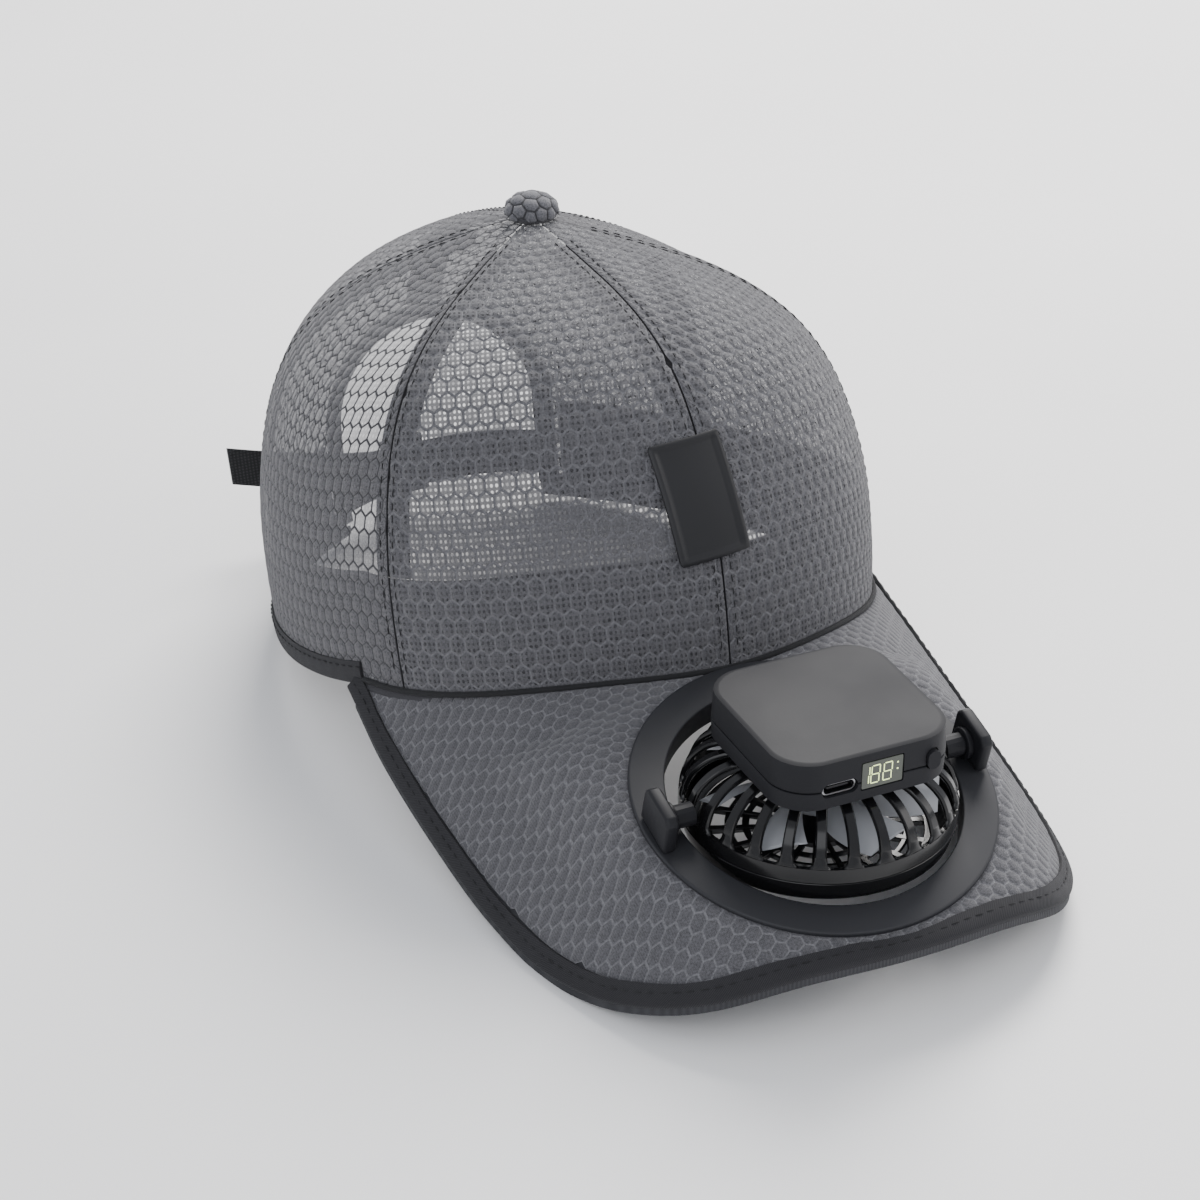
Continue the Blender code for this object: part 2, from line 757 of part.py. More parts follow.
def peak_ends():
    """The peak's boundary: each end point, with the angle at which its spoke leaves the ring's hole."""
    outline = outline_points()
    corner = math.radians(PEAK_CORNER_TURN)
    ends = []
    for point in outline:
        point.z = peak_height(point.x, point.y)
        turn = spoke_turn(point)
        if turn > -corner:
            turn = lerp(-corner, corner, (turn + corner) / (spoke_turn(outline[0]) + corner))
        ends.append((point, turn if point.x >= 0 else -math.pi - turn))
    line = spread(PEAK_END, -PEAK_END, RIM_STEPS + 1)
    step = 1.2 * (math.pi - 2 * corner) / (RIM_STEPS + 2)
    turns = spread(corner + step, math.pi - corner - step, RIM_STEPS + 1)
    for angle, turn in zip(line, turns):
        x, y = rim_plan(angle)
        place = Vector((x, y, 0)) + Vector((x, y, 0)).normalized() * PEAK_RIM_GAP
        place.z = peak_height(x, y)
        ends.append((place, turn))
    return ends, len(outline)


def room_to_crown(start, way, wanted):
    """How far a line from the peak's edge can run, up to the wanted length, before it nears the crown."""
    reach = 0.0
    while reach < wanted:
        place = start + way * (reach + 2 * PEAK_RIM_GAP)
        if (place.x / CROWN_HALF_WIDTH) ** 2 + (place.y / CROWN_HALF_LENGTH) ** 2 < 1.0:
            return reach
        reach += GAP
    return wanted


def build_peak(group, frame, cloth, tape):
    ends, count = peak_ends()
    wanted = PEAK_TAPE_LEAF + 2 * GAP
    spokes, inwards, widths = [], [], []
    for i, (end, turn) in enumerate(ends):
        length = (peak_spoke(end, turn, 0.0) - end).length
        way = (peak_spoke(end, turn, 0.9) - end).normalized()
        first, last = (0, count - 1) if i < count else (count, len(ends) - 1)
        limit = PEAK_CORNER_BAND if i in (first, last) else wanted
        if i < count:
            ahead = (ends[min(i + 1, last)][0] - ends[max(i - 1, first)][0]).normalized()
            square = (way - ahead * way.dot(ahead)).normalized()
            way = (way + square).normalized() if i in (first, last) else square
            edge = end + way * OUTLINE_EDGE
            width = min(room_to_crown(edge, way, wanted), length - OUTLINE_EDGE - 3 * GAP, limit)
            inner = edge + way * width
        else:
            out = Vector((end.x, end.y, 0)).normalized()
            way = (Vector((way.x, way.y, 0)).normalized() + out).normalized()
            edge = end
            width = min(PEAK_CROWN_BAND, length / 2, limit)
            inner = edge + way * width
            inner.z = peak_height(inner.x, inner.y)
        inwards.append(way)
        widths.append(width)
        band = 1 - (end - inner).length / length
        spoke = [peak_spoke(end, turn, share) for share in (-1.0, 0.0, *[band * r for r in PEAK_RINGS])]
        spokes.append(spoke + [inner, edge])
    rows = [list(row) for row in zip(*spokes)][::-1]
    edge = rows[0]
    sheet = bpy.data.objects.new("peak", grid_mesh("peak", rows, wrap=True))
    finish_object(sheet, group, frame, cloth)
    thicken(sheet, PEAK_THICKNESS)

    sections = []
    for i in range(count):
        ahead = edge[min(i + 1, count - 1)] - edge[max(i - 1, 0)]
        inward = inwards[i]
        leaf = widths[i] - 2 * GAP
        up = inward.cross(ahead).normalized()
        up = up if up.z > 0 else -up
        skin = TAPE_THICKNESS
        high = PEAK_TAPE_ROOM
        low = -PEAK_THICKNESS - PEAK_TAPE_ROOM
        shape = (
            (-GAP - skin, high + skin),
            (leaf, high + skin),
            (leaf, high),
            (-GAP, high),
            (-GAP, low),
            (leaf, low),
            (leaf, low - skin),
            (-GAP - skin, low - skin),
        )
        sections.append([edge[i] + inward * across + up * rise for across, rise in shape])
    binding = bpy.data.objects.new("peak_binding", tube_mesh("peak_binding", sections))
    finish_object(binding, group, frame, tape)


# The fan


def build_ring(group, ring_frame, satin):
    top = GAP + FLANGE_THICKNESS
    outer = RING_INNER + SLEEVE_WALL
    profile = [
        (RING_INNER, top - FLANGE_EDGE),
        (RING_INNER + FLANGE_EDGE, top),
        (RING_RADIUS - FLANGE_EDGE, top),
        (RING_RADIUS, top - FLANGE_EDGE),
        (RING_RADIUS, GAP),
        (outer, GAP),
        (outer, -SLEEVE_DEPTH),
        (RING_INNER, -SLEEVE_DEPTH),
    ]
    mesh = turned_mesh("fan_ring", profile, 48)
    finish_object(bpy.data.objects.new("fan_ring", mesh), group, ring_frame, satin)


def build_ears(group, cutters, ring_frame, satin):
    base = FLANGE_THICKNESS + 2 * GAP
    for side, sign in (("right", -1), ("left", 1)):
        centre = (sign * EAR_OFFSET, PIVOT_BACK, base + EAR_HEIGHT / 2)
        mesh = box_mesh(f"ear_{side}", (EAR_THICKNESS, EAR_LENGTH, EAR_HEIGHT), centre)
        ear = finish_object(bpy.data.objects.new(f"ear_{side}", mesh), group, ring_frame, satin)
        bevel(ear, EAR_CHAMFER / 4, 1)
        inner = sign * (EAR_OFFSET - EAR_THICKNESS / 2)
        depth = PIN_DEPTH + GAP
        middle = inner + sign * (depth - CUT_OVERRUN) / 2
        bore = cylinder_mesh(
            "bore",
            PIN_RADIUS + GAP,
            depth + CUT_OVERRUN,
            (middle, PIVOT_BACK, base + PIVOT_HEIGHT),
            (1, 0, 0),
        )
        boolean(ear, bpy.data.objects.new(f"ear_bore_{side}", bore), "DIFFERENCE", cutters)


def build_pivots(group, head, satin):
    wall = CAGE_RADIUS + GAP
    ear = EAR_OFFSET - EAR_THICKNESS / 2
    for side, sign in (("right", -1), ("left", 1)):
        profile = [
            (0.0, wall),
            (PIVOT_RADIUS, wall),
            (PIVOT_RADIUS, ear - GAP),
            (PIN_RADIUS, ear - GAP),
            (PIN_RADIUS, ear + PIN_DEPTH),
            (0.0, ear + PIN_DEPTH),
        ]
        mesh = turned_mesh(f"pivot_{side}", profile, 16)
        mesh.transform(Matrix.Rotation(sign * math.pi / 2, 4, "Y"))
        finish_object(bpy.data.objects.new(f"pivot_{side}", mesh), group, head, satin)


def slotted_sheet(name, rings, ribs, slots, slot_rows):
    """A turned sheet with a slot between each two ribs; rings are (radius, height) from the middle out."""
    pitch = 2 * math.pi / ribs
    mesh = bpy.data.meshes.new(name)
    work = bmesh.new()
    middle = work.verts.new((0, 0, rings[0][1]))
    rows = []
    for (radius, height), slot in zip(rings, slots):
        row = []
        for i in range(ribs):
            half = pitch * max(slot, 0.25) / 2
            for turn in (i * pitch - half, i * pitch + half):
                row.append(work.verts.new((radius * math.cos(turn), radius * math.sin(turn), height)))
        rows.append(row)
    count = 2 * ribs
    for j in range(count):
        work.faces.new((middle, rows[0][j], rows[0][(j + 1) % count]))
    for i in range(len(rows) - 1):
        for j in range(count):
            is_slot = j % 2 == 0 and any(low <= i < high for low, high in slot_rows)
            if is_slot:
                continue
            k = (j + 1) % count
            work.faces.new((rows[i][j], rows[i + 1][j], rows[i + 1][k], rows[i][k]))
    bmesh.ops.recalc_face_normals(work, faces=work.faces)
    work.normal_update()
    if sum(face.normal.z for face in work.faces) < 0:
        bmesh.ops.reverse_faces(work, faces=work.faces)
    work.to_mesh(mesh)
    work.free()
    return mesh


def build_cage(group, head, gloss):
    rings = []
    for level in CAGE_LEVELS:
        radius = lerp(CAGE_TOP_RADIUS, CAGE_RADIUS, level.out)
        rings.append((radius, CAGE_TOP - CAGE_HEIGHT * level.down))
    slots = [level.slot for level in CAGE_LEVELS]
    mesh = slotted_sheet("fan_cage", rings, CAGE_RIBS, slots, [CAGE_SLOT_LEVELS])
    cage = finish_object(bpy.data.objects.new("fan_cage", mesh), group, head, gloss)
    thicken(cage, CAGE_WALL)


def build_guard(group, head, gloss):
    """A shallow bowl under the cage. Its floor has slots, and its wall stays inside the ring as it tilts."""
    top = CAGE_BOTTOM - GAP
    low = top - GUARD_DEPTH
    outer = CAGE_RADIUS - GUARD_THICKNESS
    floor = outer - GUARD_TAPER
    inner = floor - GUARD_RIM
    middle = lerp(GUARD_HUB_RADIUS, inner, GUARD_MIDDLE_SHARE)
    knee = (lerp(floor, outer, GUARD_KNEE_OUT), lerp(low, top, GUARD_KNEE_UP))
    rings = [(GUARD_HUB_RADIUS, low), (middle, low), (inner, low), (floor, low), knee, (outer, top)]
    slots = (0.55, 0.75, 0.80, 0.80, 0.80, 0.80)
    mesh = slotted_sheet("lower_guard", rings, GUARD_RIBS, slots, [(0, 2)])
    guard = finish_object(bpy.data.objects.new("lower_guard", mesh), group, head, gloss)
    thicken(guard, GUARD_THICKNESS)


def build_motor(group, head, satin):
    top = CAGE_TOP - CAGE_WALL - GAP
    low = top - MOTOR_HEIGHT
    profile = [
        (0.0, top),
        (MOTOR_RADIUS, top),
        (MOTOR_RADIUS, low),
        (SHAFT_RADIUS, low),
        (SHAFT_RADIUS, low - SHAFT_LENGTH),
        (0.0, low - SHAFT_LENGTH),
    ]
    mesh = turned_mesh("motor", profile, 20)
    finish_object(bpy.data.objects.new("motor", mesh), group, head, satin)
    return low


def blade_mesh(top):
    """One blade: a twisted sheet that starts inside the hub's wall."""
    start = HUB_RADIUS - 0.0015
    sections = []
    for share in spread(0, 1, 4):
        radius = lerp(start, BLADE_RADIUS, share)
        pitch = math.radians(lerp(BLADE_PITCH, BLADE_PITCH * 0.6, share))
        sweep = math.radians(BLADE_SWEEP) * share
        half = BLADE_CHORD * lerp(0.42, 0.62, math.sin(share * math.pi * 0.6))
        around = Vector((-math.sin(sweep), math.cos(sweep), 0))
        out = Vector((math.cos(sweep), math.sin(sweep), 0))
        chord = around * math.cos(pitch) + Vector((0, 0, math.sin(pitch)))
        normal = out.cross(chord) * (BLADE_THICKNESS / 2)
        middle = out * radius + Vector((0, 0, top - HUB_HEIGHT / 2))
        corners = ((-1, -1), (1, -1), (1, 1), (-1, 1))
        sections.append([middle + chord * half * u + normal * v for u, v in corners])
    return tube_mesh("blade", sections)


def build_impeller(group, cutters, head, blade_plastic, motor_low):
    top = motor_low - GAP
    bore = SHAFT_RADIUS + GAP
    profile = [
        (bore, top),
        (HUB_RADIUS, top),
        (HUB_RADIUS, top - HUB_HEIGHT + 0.0012),
        (HUB_RADIUS - 0.0012, top - HUB_HEIGHT),
        (bore, top - HUB_HEIGHT),
    ]
    hub = bpy.data.objects.new("impeller", turned_mesh("impeller", profile, 28))
    finish_object(hub, group, head, blade_plastic)
    work = bmesh.new()
    for i in range(BLADES):
        blade = blade_mesh(top)
        blade.transform(Matrix.Rotation(2 * math.pi * i / BLADES, 4, "Z"))
        work.from_mesh(blade)
        bpy.data.meshes.remove(blade)
    mesh = bpy.data.meshes.new("impeller_blades")
    work.to_mesh(mesh)
    work.free()
    boolean(hub, bpy.data.objects.new("impeller_blades", mesh), "UNION", cutters)


def rounded_square(name, bottom, top, parent, group, mat, edge_top):
    half = BOX_SIZE / 2
    inner = half - BOX_CORNER
    mesh = bpy.data.meshes.new(name)
    work = bmesh.new()
    verts = []
    for quarter in range(4):
        for step in range(7):
            turn = math.radians(quarter * 90 + step * 15)
            sx = 1 if quarter in (0, 3) else -1
            sy = 1 if quarter in (0, 1) else -1
            x = sx * inner + BOX_CORNER * math.cos(turn)
            y = sy * inner + BOX_CORNER * math.sin(turn) - BOX_FORWARD
            verts.append(work.verts.new((x, y, bottom)))
    face = work.faces.new(verts)
    grown = bmesh.ops.extrude_face_region(work, geom=[face])
    moved = [item for item in grown["geom"] if isinstance(item, bmesh.types.BMVert)]
    bmesh.ops.translate(work, verts=moved, vec=(0, 0, top - bottom))
    height = top if edge_top else bottom
    rim = [edge for edge in work.edges if all(abs(v.co.z - height) < 1e-7 for v in edge.verts)]
    bmesh.ops.bevel(work, geom=rim, offset=BOX_EDGE, segments=3, profile=0.5, affect="EDGES")
    bmesh.ops.recalc_face_normals(work, faces=work.faces)
    work.to_mesh(mesh)
    work.free()
    return finish_object(bpy.data.objects.new(name, mesh), group, parent, mat)


def build_box(group, cutters, head, satin, socket_metal, window_glass):
    parting = BOX_BOTTOM + BOX_PARTING
    top = BOX_BOTTOM + BOX_HEIGHT
    base = rounded_square("battery_base", BOX_BOTTOM, parting, head, group, satin, False)
    lid = rounded_square("battery_top", parting + GAP, top, head, group, satin, True)
    front = -BOX_SIZE / 2 - BOX_FORWARD

    def cut_halves(name, size, place):
        for half, word in ((base, "base"), (lid, "top")):
            pocket = box_mesh(f"{name}_{word}", size, place)
            boolean(half, bpy.data.objects.new(f"{name}_{word}", pocket), "DIFFERENCE", cutters)

    window_z = BOX_BOTTOM + WINDOW_CENTRE
    window_y = front + WINDOW_DEPTH / 2
    size = (WINDOW_WIDTH, WINDOW_DEPTH, WINDOW_HEIGHT)
    glass = box_mesh("display_window", size, (WINDOW_OFFSET, window_y, window_z))
    window = bpy.data.objects.new("display_window", glass)
    finish_object(window, group, head, window_glass, smooth=False)
    deep = WINDOW_DEPTH + GAP + CUT_OVERRUN
    size = (WINDOW_WIDTH + 2 * GAP, deep, WINDOW_HEIGHT + 2 * GAP)
    cut_halves("window_pocket", size, (WINDOW_OFFSET, front + deep / 2 - CUT_OVERRUN, window_z))

    usb_z = parting + GAP / 2
    socket_size = (USB_WIDTH, USB_DEPTH, USB_HEIGHT)
    socket_y = front + 2 * USB_WALL + USB_DEPTH / 2
    shell = box_mesh("usb_socket", socket_size, (USB_OFFSET, socket_y, usb_z))
    socket = bpy.data.objects.new("usb_socket", shell)
    finish_object(socket, group, head, socket_metal, smooth=False)
    hollow_size = (USB_WIDTH - 2 * USB_WALL, USB_DEPTH, USB_HEIGHT - 2 * USB_WALL)
    hollow = box_mesh("usb_hollow", hollow_size, (USB_OFFSET, socket_y - 4 * USB_WALL, usb_z))
    boolean(socket, bpy.data.objects.new("usb_hollow", hollow), "DIFFERENCE", cutters)
    deep = 2 * USB_WALL + USB_DEPTH + GAP + CUT_OVERRUN
    size = (USB_WIDTH + 2 * GAP, deep, USB_HEIGHT + 2 * GAP)
    cut_halves("usb_pocket", size, (USB_OFFSET, front + deep / 2 - CUT_OVERRUN, usb_z))

    press_z = BOX_BOTTOM + PRESS_CENTRE
    body = PRESS_DEPTH + PRESS_PROUD
    press_y = front - PRESS_PROUD + body / 2
    key = box_mesh("power_button", (PRESS_WIDTH, body, PRESS_HEIGHT), (0, 0, 0))
    power = bpy.data.objects.new("power_button", key)
    finish_object(power, group, head, satin)
    power.location = (BUTTON_OFFSET, press_y, press_z)
    bevel(power, PRESS_WIDTH * 0.16, 2)
    deep = PRESS_DEPTH + PRESS_TRAVEL + GAP + 6 * CUT_OVERRUN
    size = (PRESS_WIDTH + 2 * GAP, deep, PRESS_HEIGHT + 2 * GAP)
    cut_halves("press_pocket", size, (BUTTON_OFFSET, front + deep / 2 - 6 * CUT_OVERRUN, press_z))
    return power


def rest_on_floor(frame, group):
    """Moves the cap so that it stands on z = 0 with its footprint centred on the origin."""
    bpy.context.view_layer.update()
    graph = bpy.context.evaluated_depsgraph_get()
    low = Vector((1e9, 1e9, 1e9))
    high = -low
    for obj in group.objects:
        if obj.type != "MESH":
            continue
        seen = obj.evaluated_get(graph)
        shape = seen.to_mesh()
        for vert in shape.vertices:
            place = seen.matrix_world @ vert.co
            low = Vector(map(min, low, place))
            high = Vector(map(max, high, place))
        seen.to_mesh_clear()
    frame.location = (-(low.x + high.x) / 2, -(low.y + high.y) / 2, -low.z)


def build():
    clear_scene()
    group = collection("fan_cap")
    cutters = collection("cutters")
    cloth = material("net_cloth", (0.16, 0.16, 0.175), 0.85)
    tape = material("binding_tape", (0.05, 0.05, 0.055), 0.9)
    webbing = material("webbing", (0.015, 0.015, 0.017), 0.8)
    rubber = material("patch_rubber", (0.012, 0.012, 0.014), 0.5)
    satin = material("satin_plastic", (0.035, 0.036, 0.042), 0.42)
    gloss = material("gloss_plastic", (0.008, 0.008, 0.009), 0.15)
    blade_plastic = material("blade_plastic", (0.16, 0.17, 0.19), 0.35)
    socket_metal = material("socket_metal", (0.25, 0.25, 0.26), 0.35, 1.0)
    window_glass = material("display_glass", (0.02, 0.022, 0.018), 0.1)

    frame = empty("cap_frame", group, (0, 0, 0))
    build_panels(group, frame, cloth)
    build_seam_tapes(group, frame, tape)
    build_sweatband(group, frame, tape)
    build_arch_binding(group, frame, tape)
    build_rim_bindings(group, frame, tape)
    build_button(group, frame, cloth)
    build_patch(group, frame, rubber)
    slider, window, centre, out, along, up = build_strap(group, frame, webbing, satin)
    boolean(slider, bpy.data.objects.new("slider_window", window), "DIFFERENCE", cutters)
    build_tail(group, frame, webbing, centre, out, along, up)
    build_peak(group, frame, cloth, tape)

    ring_place = (0, RING_Y, ring_plane_height(RING_Y))
    ring_frame = empty("ring_frame", group, ring_place, frame, PEAK_PITCH)
    build_ring(group, ring_frame, satin)
    build_ears(group, cutters, ring_frame, satin)
    pivot_place = (0, PIVOT_BACK, FLANGE_THICKNESS + 2 * GAP + PIVOT_HEIGHT)
    head = empty("fan_head", group, pivot_place, ring_frame, HEAD_PITCH - PEAK_PITCH)
    build_pivots(group, head, satin)
    build_cage(group, head, gloss)
    build_guard(group, head, gloss)
    motor_low = build_motor(group, head, satin)
    build_impeller(group, cutters, head, blade_plastic, motor_low)
    build_box(group, cutters, head, satin, socket_metal, window_glass)
    rest_on_floor(frame, group)


build()
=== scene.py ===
"""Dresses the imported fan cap: honeycomb net, bindings, stitching, fan detail, light and camera."""

import json
import math
from bisect import bisect_right
from collections import namedtuple

import bmesh
import bpy
from mathutils import Matrix, Vector
from mathutils.bvhtree import BVHTree

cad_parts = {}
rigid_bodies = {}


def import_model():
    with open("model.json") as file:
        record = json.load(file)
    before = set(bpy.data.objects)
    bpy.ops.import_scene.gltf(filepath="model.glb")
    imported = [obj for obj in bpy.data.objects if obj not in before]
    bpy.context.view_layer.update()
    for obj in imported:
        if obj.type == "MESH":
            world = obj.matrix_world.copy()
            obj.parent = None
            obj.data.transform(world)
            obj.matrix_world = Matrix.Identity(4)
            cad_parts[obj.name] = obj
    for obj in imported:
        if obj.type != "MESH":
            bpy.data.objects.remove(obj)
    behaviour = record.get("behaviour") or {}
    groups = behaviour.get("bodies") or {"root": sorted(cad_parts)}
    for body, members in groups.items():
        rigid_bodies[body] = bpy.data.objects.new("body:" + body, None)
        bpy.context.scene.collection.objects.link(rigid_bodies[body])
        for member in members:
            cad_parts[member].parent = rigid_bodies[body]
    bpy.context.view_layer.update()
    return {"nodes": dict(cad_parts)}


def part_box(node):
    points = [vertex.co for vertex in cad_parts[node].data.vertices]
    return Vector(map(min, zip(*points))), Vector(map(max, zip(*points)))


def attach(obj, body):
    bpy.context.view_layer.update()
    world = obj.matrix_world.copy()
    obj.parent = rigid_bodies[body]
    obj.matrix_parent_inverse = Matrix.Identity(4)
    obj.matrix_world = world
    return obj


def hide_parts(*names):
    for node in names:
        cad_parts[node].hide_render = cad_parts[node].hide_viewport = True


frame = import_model()

# Sizes of the solids, in metres, in the crown's own frame: its centre is at x = y = 0, its front at -Y

GAP = 0.0003
CROWN_HALF_WIDTH = 0.0815
CROWN_HALF_LENGTH = 0.1035
CROWN_HEIGHT = 0.1267
APEX_BACK = 0.0205
PEAK_END = 68.0
RIM_SIDE_PULL = -0.0100
RIM_BACK = 0.0060
RIM_CLEAR = 0.0002
SEAM_GAP = 0.0006
CLOTH = 0.0012

Level = namedtuple("Level", "reach front side back")
CROWN_LEVELS = (
    Level(1.000, 0.000, 0.000, 0.000),
    Level(1.012, 0.200, 0.150, 0.150),
    Level(1.008, 0.400, 0.300, 0.300),
    Level(0.975, 0.600, 0.440, 0.450),
    Level(0.920, 0.760, 0.560, 0.570),
    Level(0.830, 0.875, 0.670, 0.680),
    Level(0.700, 0.945, 0.765, 0.775),
    Level(0.540, 0.980, 0.845, 0.850),
    Level(0.370, 0.992, 0.905, 0.910),
    Level(0.200, 0.998, 0.955, 0.960),
    Level(0.055, 1.000, 0.992, 0.994),
)
TOP_LEVEL = len(CROWN_LEVELS) - 1

ARCH_HALF_ANGLE = 24.0
ARCH_SPRING = 0.036
ARCH_TOP = 0.063
ARCH_TAPE_ANGLE = 4.4
ARCH_TAPE = 0.0060
ARCH_TAPE_THICKNESS = 0.0009
ARCH_ROOM = 0.0007
BAND_START = 0.0034
BAND_HEIGHT = 0.0270
BAND_THICKNESS = 0.0014
SEAM_TAPE_WIDTH = 0.0120
SEAM_TAPE_THICKNESS = 0.0008
SEAM_TAPE_TOP_LEVEL = 9.0
STRAP_LOW = 0.0085
STRAP_WIDTH = 0.0135
STRAP_THICKNESS = 0.0012
BUTTON_RADIUS = 0.0074
BUTTON_HEIGHT = 0.0062
PATCH_WIDTH = 0.0192
PATCH_HEIGHT = 0.0312
PATCH_THICKNESS = 0.0016
PATCH_ANGLE = -2.2
PATCH_CENTRE = 0.0900
PATCH_LEAN = 5.4

PEAK_LENGTH = 0.0970
PEAK_FRONT_HEIGHT = 0.0462
PEAK_PITCH = 16.0
PEAK_ARCH = 0.0459
PEAK_ARCH_POWER = 2.65
PEAK_FALL_POWER = 1.35
PEAK_THICKNESS = 0.0020
PEAK_RIM_GAP = 0.0006
PEAK_LEVEL_LIMIT = 0.60
PEAK_CORNER_TURN = 15.0
PEAK_WING_TURN = 25.0
PEAK_WING_BOW = 0.0065
OutlinePoint = namedtuple("OutlinePoint", "side forward")
PEAK_OUTLINE = (
    OutlinePoint(0.980, -0.680),
    OutlinePoint(0.985, -0.456),
    OutlinePoint(0.970, -0.140),
    OutlinePoint(0.940, 0.182),
    OutlinePoint(0.880, 0.478),
    OutlinePoint(0.760, 0.720),
    OutlinePoint(0.570, 0.892),
    OutlinePoint(0.290, 0.975),
    OutlinePoint(0.000, 1.000),
)
TAPE_THICKNESS = 0.0008
PEAK_TAPE_LEAF = 0.0048
PEAK_TAPE_ROOM = 0.0005
RIM_TAPE_OUTER = 0.0058
RIM_TAPE_INNER = 0.0022
RIM_TAPE_START = 71.0
PEAK_TAPE_END = 69.5
OUTLINE_EDGE = TAPE_THICKNESS + GAP

RING_RADIUS = 0.0465
RING_INNER = 0.0374
RING_REAR_GAP = 0.0009
SLEEVE_WALL = 0.0014
SLEEVE_DEPTH = 0.0060
FLANGE_THICKNESS = 0.0018
HOLE_CLEARANCE = 0.0006
EAR_OFFSET = 0.0436
EAR_LENGTH = 0.0135
EAR_HEIGHT = 0.0105
EAR_THICKNESS = 0.0035
PIVOT_HEIGHT = 0.0042
PIVOT_BACK = -0.0010
HEAD_PITCH = 2.0
CAGE_RADIUS = 0.0348
CAGE_TOP_RADIUS = 0.0190
CAGE_TOP = 0.0107
CAGE_BOTTOM = -0.0065
CAGE_RIBS = 26
GUARD_THICKNESS = 0.0013
GUARD_RIBS = 18
GUARD_HUB_RADIUS = 0.0090
GUARD_RIM = 0.0030
GUARD_DEPTH = 0.0060
GUARD_TAPER = 0.0040
GUARD_KNEE_OUT = 0.70
GUARD_KNEE_UP = 0.25
BOX_SIZE = 0.0476
BOX_CORNER = 0.0105
BOX_FORWARD = 0.0028
BOX_HEIGHT = 0.0132
BOX_PARTING = 0.0051
BOX_EDGE = 0.0016
BOX_FOOT_EDGE = 0.0010
PARTING_EDGE = 0.00035
EDGE_BAND = 0.0005
WINDOW_WIDTH = 0.0110
WINDOW_HEIGHT = 0.0072
WINDOW_OFFSET = 0.0020
WINDOW_CENTRE = 0.0068
USB_WIDTH = 0.0090
USB_HEIGHT = 0.0032
USB_OFFSET = -0.0094
BUTTON_FROM_SIDE = 0.0080
PRESS_WIDTH = 0.0034
PRESS_HEIGHT = 0.0050
PRESS_CENTRE = 0.0069
PRESS_PROUD = 0.0006

PEAK_SLOPE = math.tan(math.radians(PEAK_PITCH))
PEAK_FLAT = math.cos(math.radians(PEAK_PITCH))
HOLE_RADIUS = RING_INNER + SLEEVE_WALL + HOLE_CLEARANCE
RING_Y = -CROWN_HALF_LENGTH - RING_REAR_GAP - RING_RADIUS * PEAK_FLAT
BUTTON_OFFSET = BOX_SIZE / 2 - BUTTON_FROM_SIDE
STRAP_DEPTH = CLOTH + ARCH_ROOM + GAP + ARCH_TAPE_THICKNESS + GAP

# The honeycomb: how wide and tall one cell is, the pitch of its rows, and how far its middle stands up
CELL_WIDTH = 0.0043
CELL_PITCH = 0.0046
PEAK_CELL_WIDTH = 0.0040
PEAK_CELL_PITCH = 0.0030
CELL_RISE = 0.00042
CELL_RIB = 0.19
PANEL_ANGLE = 60.0
NET_HOLE_PITCH = (1.43, 1.70)
NET_YARN_PITCH = (0.42, 0.36)

button_low, button_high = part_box("top_button")
OFFSET = Vector(
    (0, (button_low[1] + button_high[1]) / 2 - APEX_BACK, button_low[2] - CROWN_HEIGHT - GAP)
)
UP = Vector((0, 0, 1))


def lerp(a, b, t):
    return a + (b - a) * t


def spread(start, end, count):
    return [lerp(start, end, i / (count - 1)) for i in range(count)]


def cubic(values, place):
    """A smooth curve through evenly numbered values, read at a fractional place."""
    last = len(values) - 1
    i = min(int(place), last - 1)
    t = place - i
    before = values[i - 1] if i else 2 * values[0] - values[1]
    after = values[i + 2] if i + 2 <= last else 2 * values[last] - values[last - 1]
    a, b = values[i], values[i + 1]
    slope_a, slope_b = (b - before) / 2, (after - a) / 2
    return (
        a * (1 + 2 * t) * (1 - t) ** 2
        + slope_a * t * (1 - t) ** 2
        + b * t * t * (3 - 2 * t)
        - slope_b * t * t * (1 - t)
    )


# The crown's surface, as in the solids

REACH = [level.reach for level in CROWN_LEVELS]
FRONT = [level.front for level in CROWN_LEVELS]
SIDE = [level.side for level in CROWN_LEVELS]
BACK = [level.back for level in CROWN_LEVELS]


def peak_arch(x):
    return PEAK_ARCH * (abs(x) / CROWN_HALF_WIDTH) ** PEAK_ARCH_POWER


def ring_plane_height(y):
    return PEAK_FRONT_HEIGHT + PEAK_SLOPE * (y + CROWN_HALF_LENGTH)


def peak_height(x, y):
    return ring_plane_height(y) - peak_arch(x)


def rim_plan(angle):
    a = math.radians(angle)
    return CROWN_HALF_WIDTH * math.sin(a), -CROWN_HALF_LENGTH * math.cos(a)


def rim_height(angle):
    away = abs((angle + 180.0) % 360.0 - 180.0)
    if away <= PEAK_END:
        return peak_height(*rim_plan(away)) + RIM_CLEAR
    start = peak_height(*rim_plan(PEAK_END)) + RIM_CLEAR
    s = (away - PEAK_END) / (180.0 - PEAK_END)
    return start * (1 - s) ** 2 + 2 * s * (1 - s) * RIM_SIDE_PULL + RIM_BACK * s * s


def crown_point(angle, place):
    reach = cubic(REACH, place)
    ahead = math.cos(math.radians(angle))
    share = cubic(SIDE, place)
    if ahead >= 0:
        share = lerp(share, cubic(FRONT, place), ahead**1.3)
    else:
        share = lerp(share, cubic(BACK, place), -ahead)
    x, y = rim_plan(angle)
    rim = rim_height(angle)
    return Vector((x * reach, y * reach + APEX_BACK * share, lerp(rim, CROWN_HEIGHT, share)))


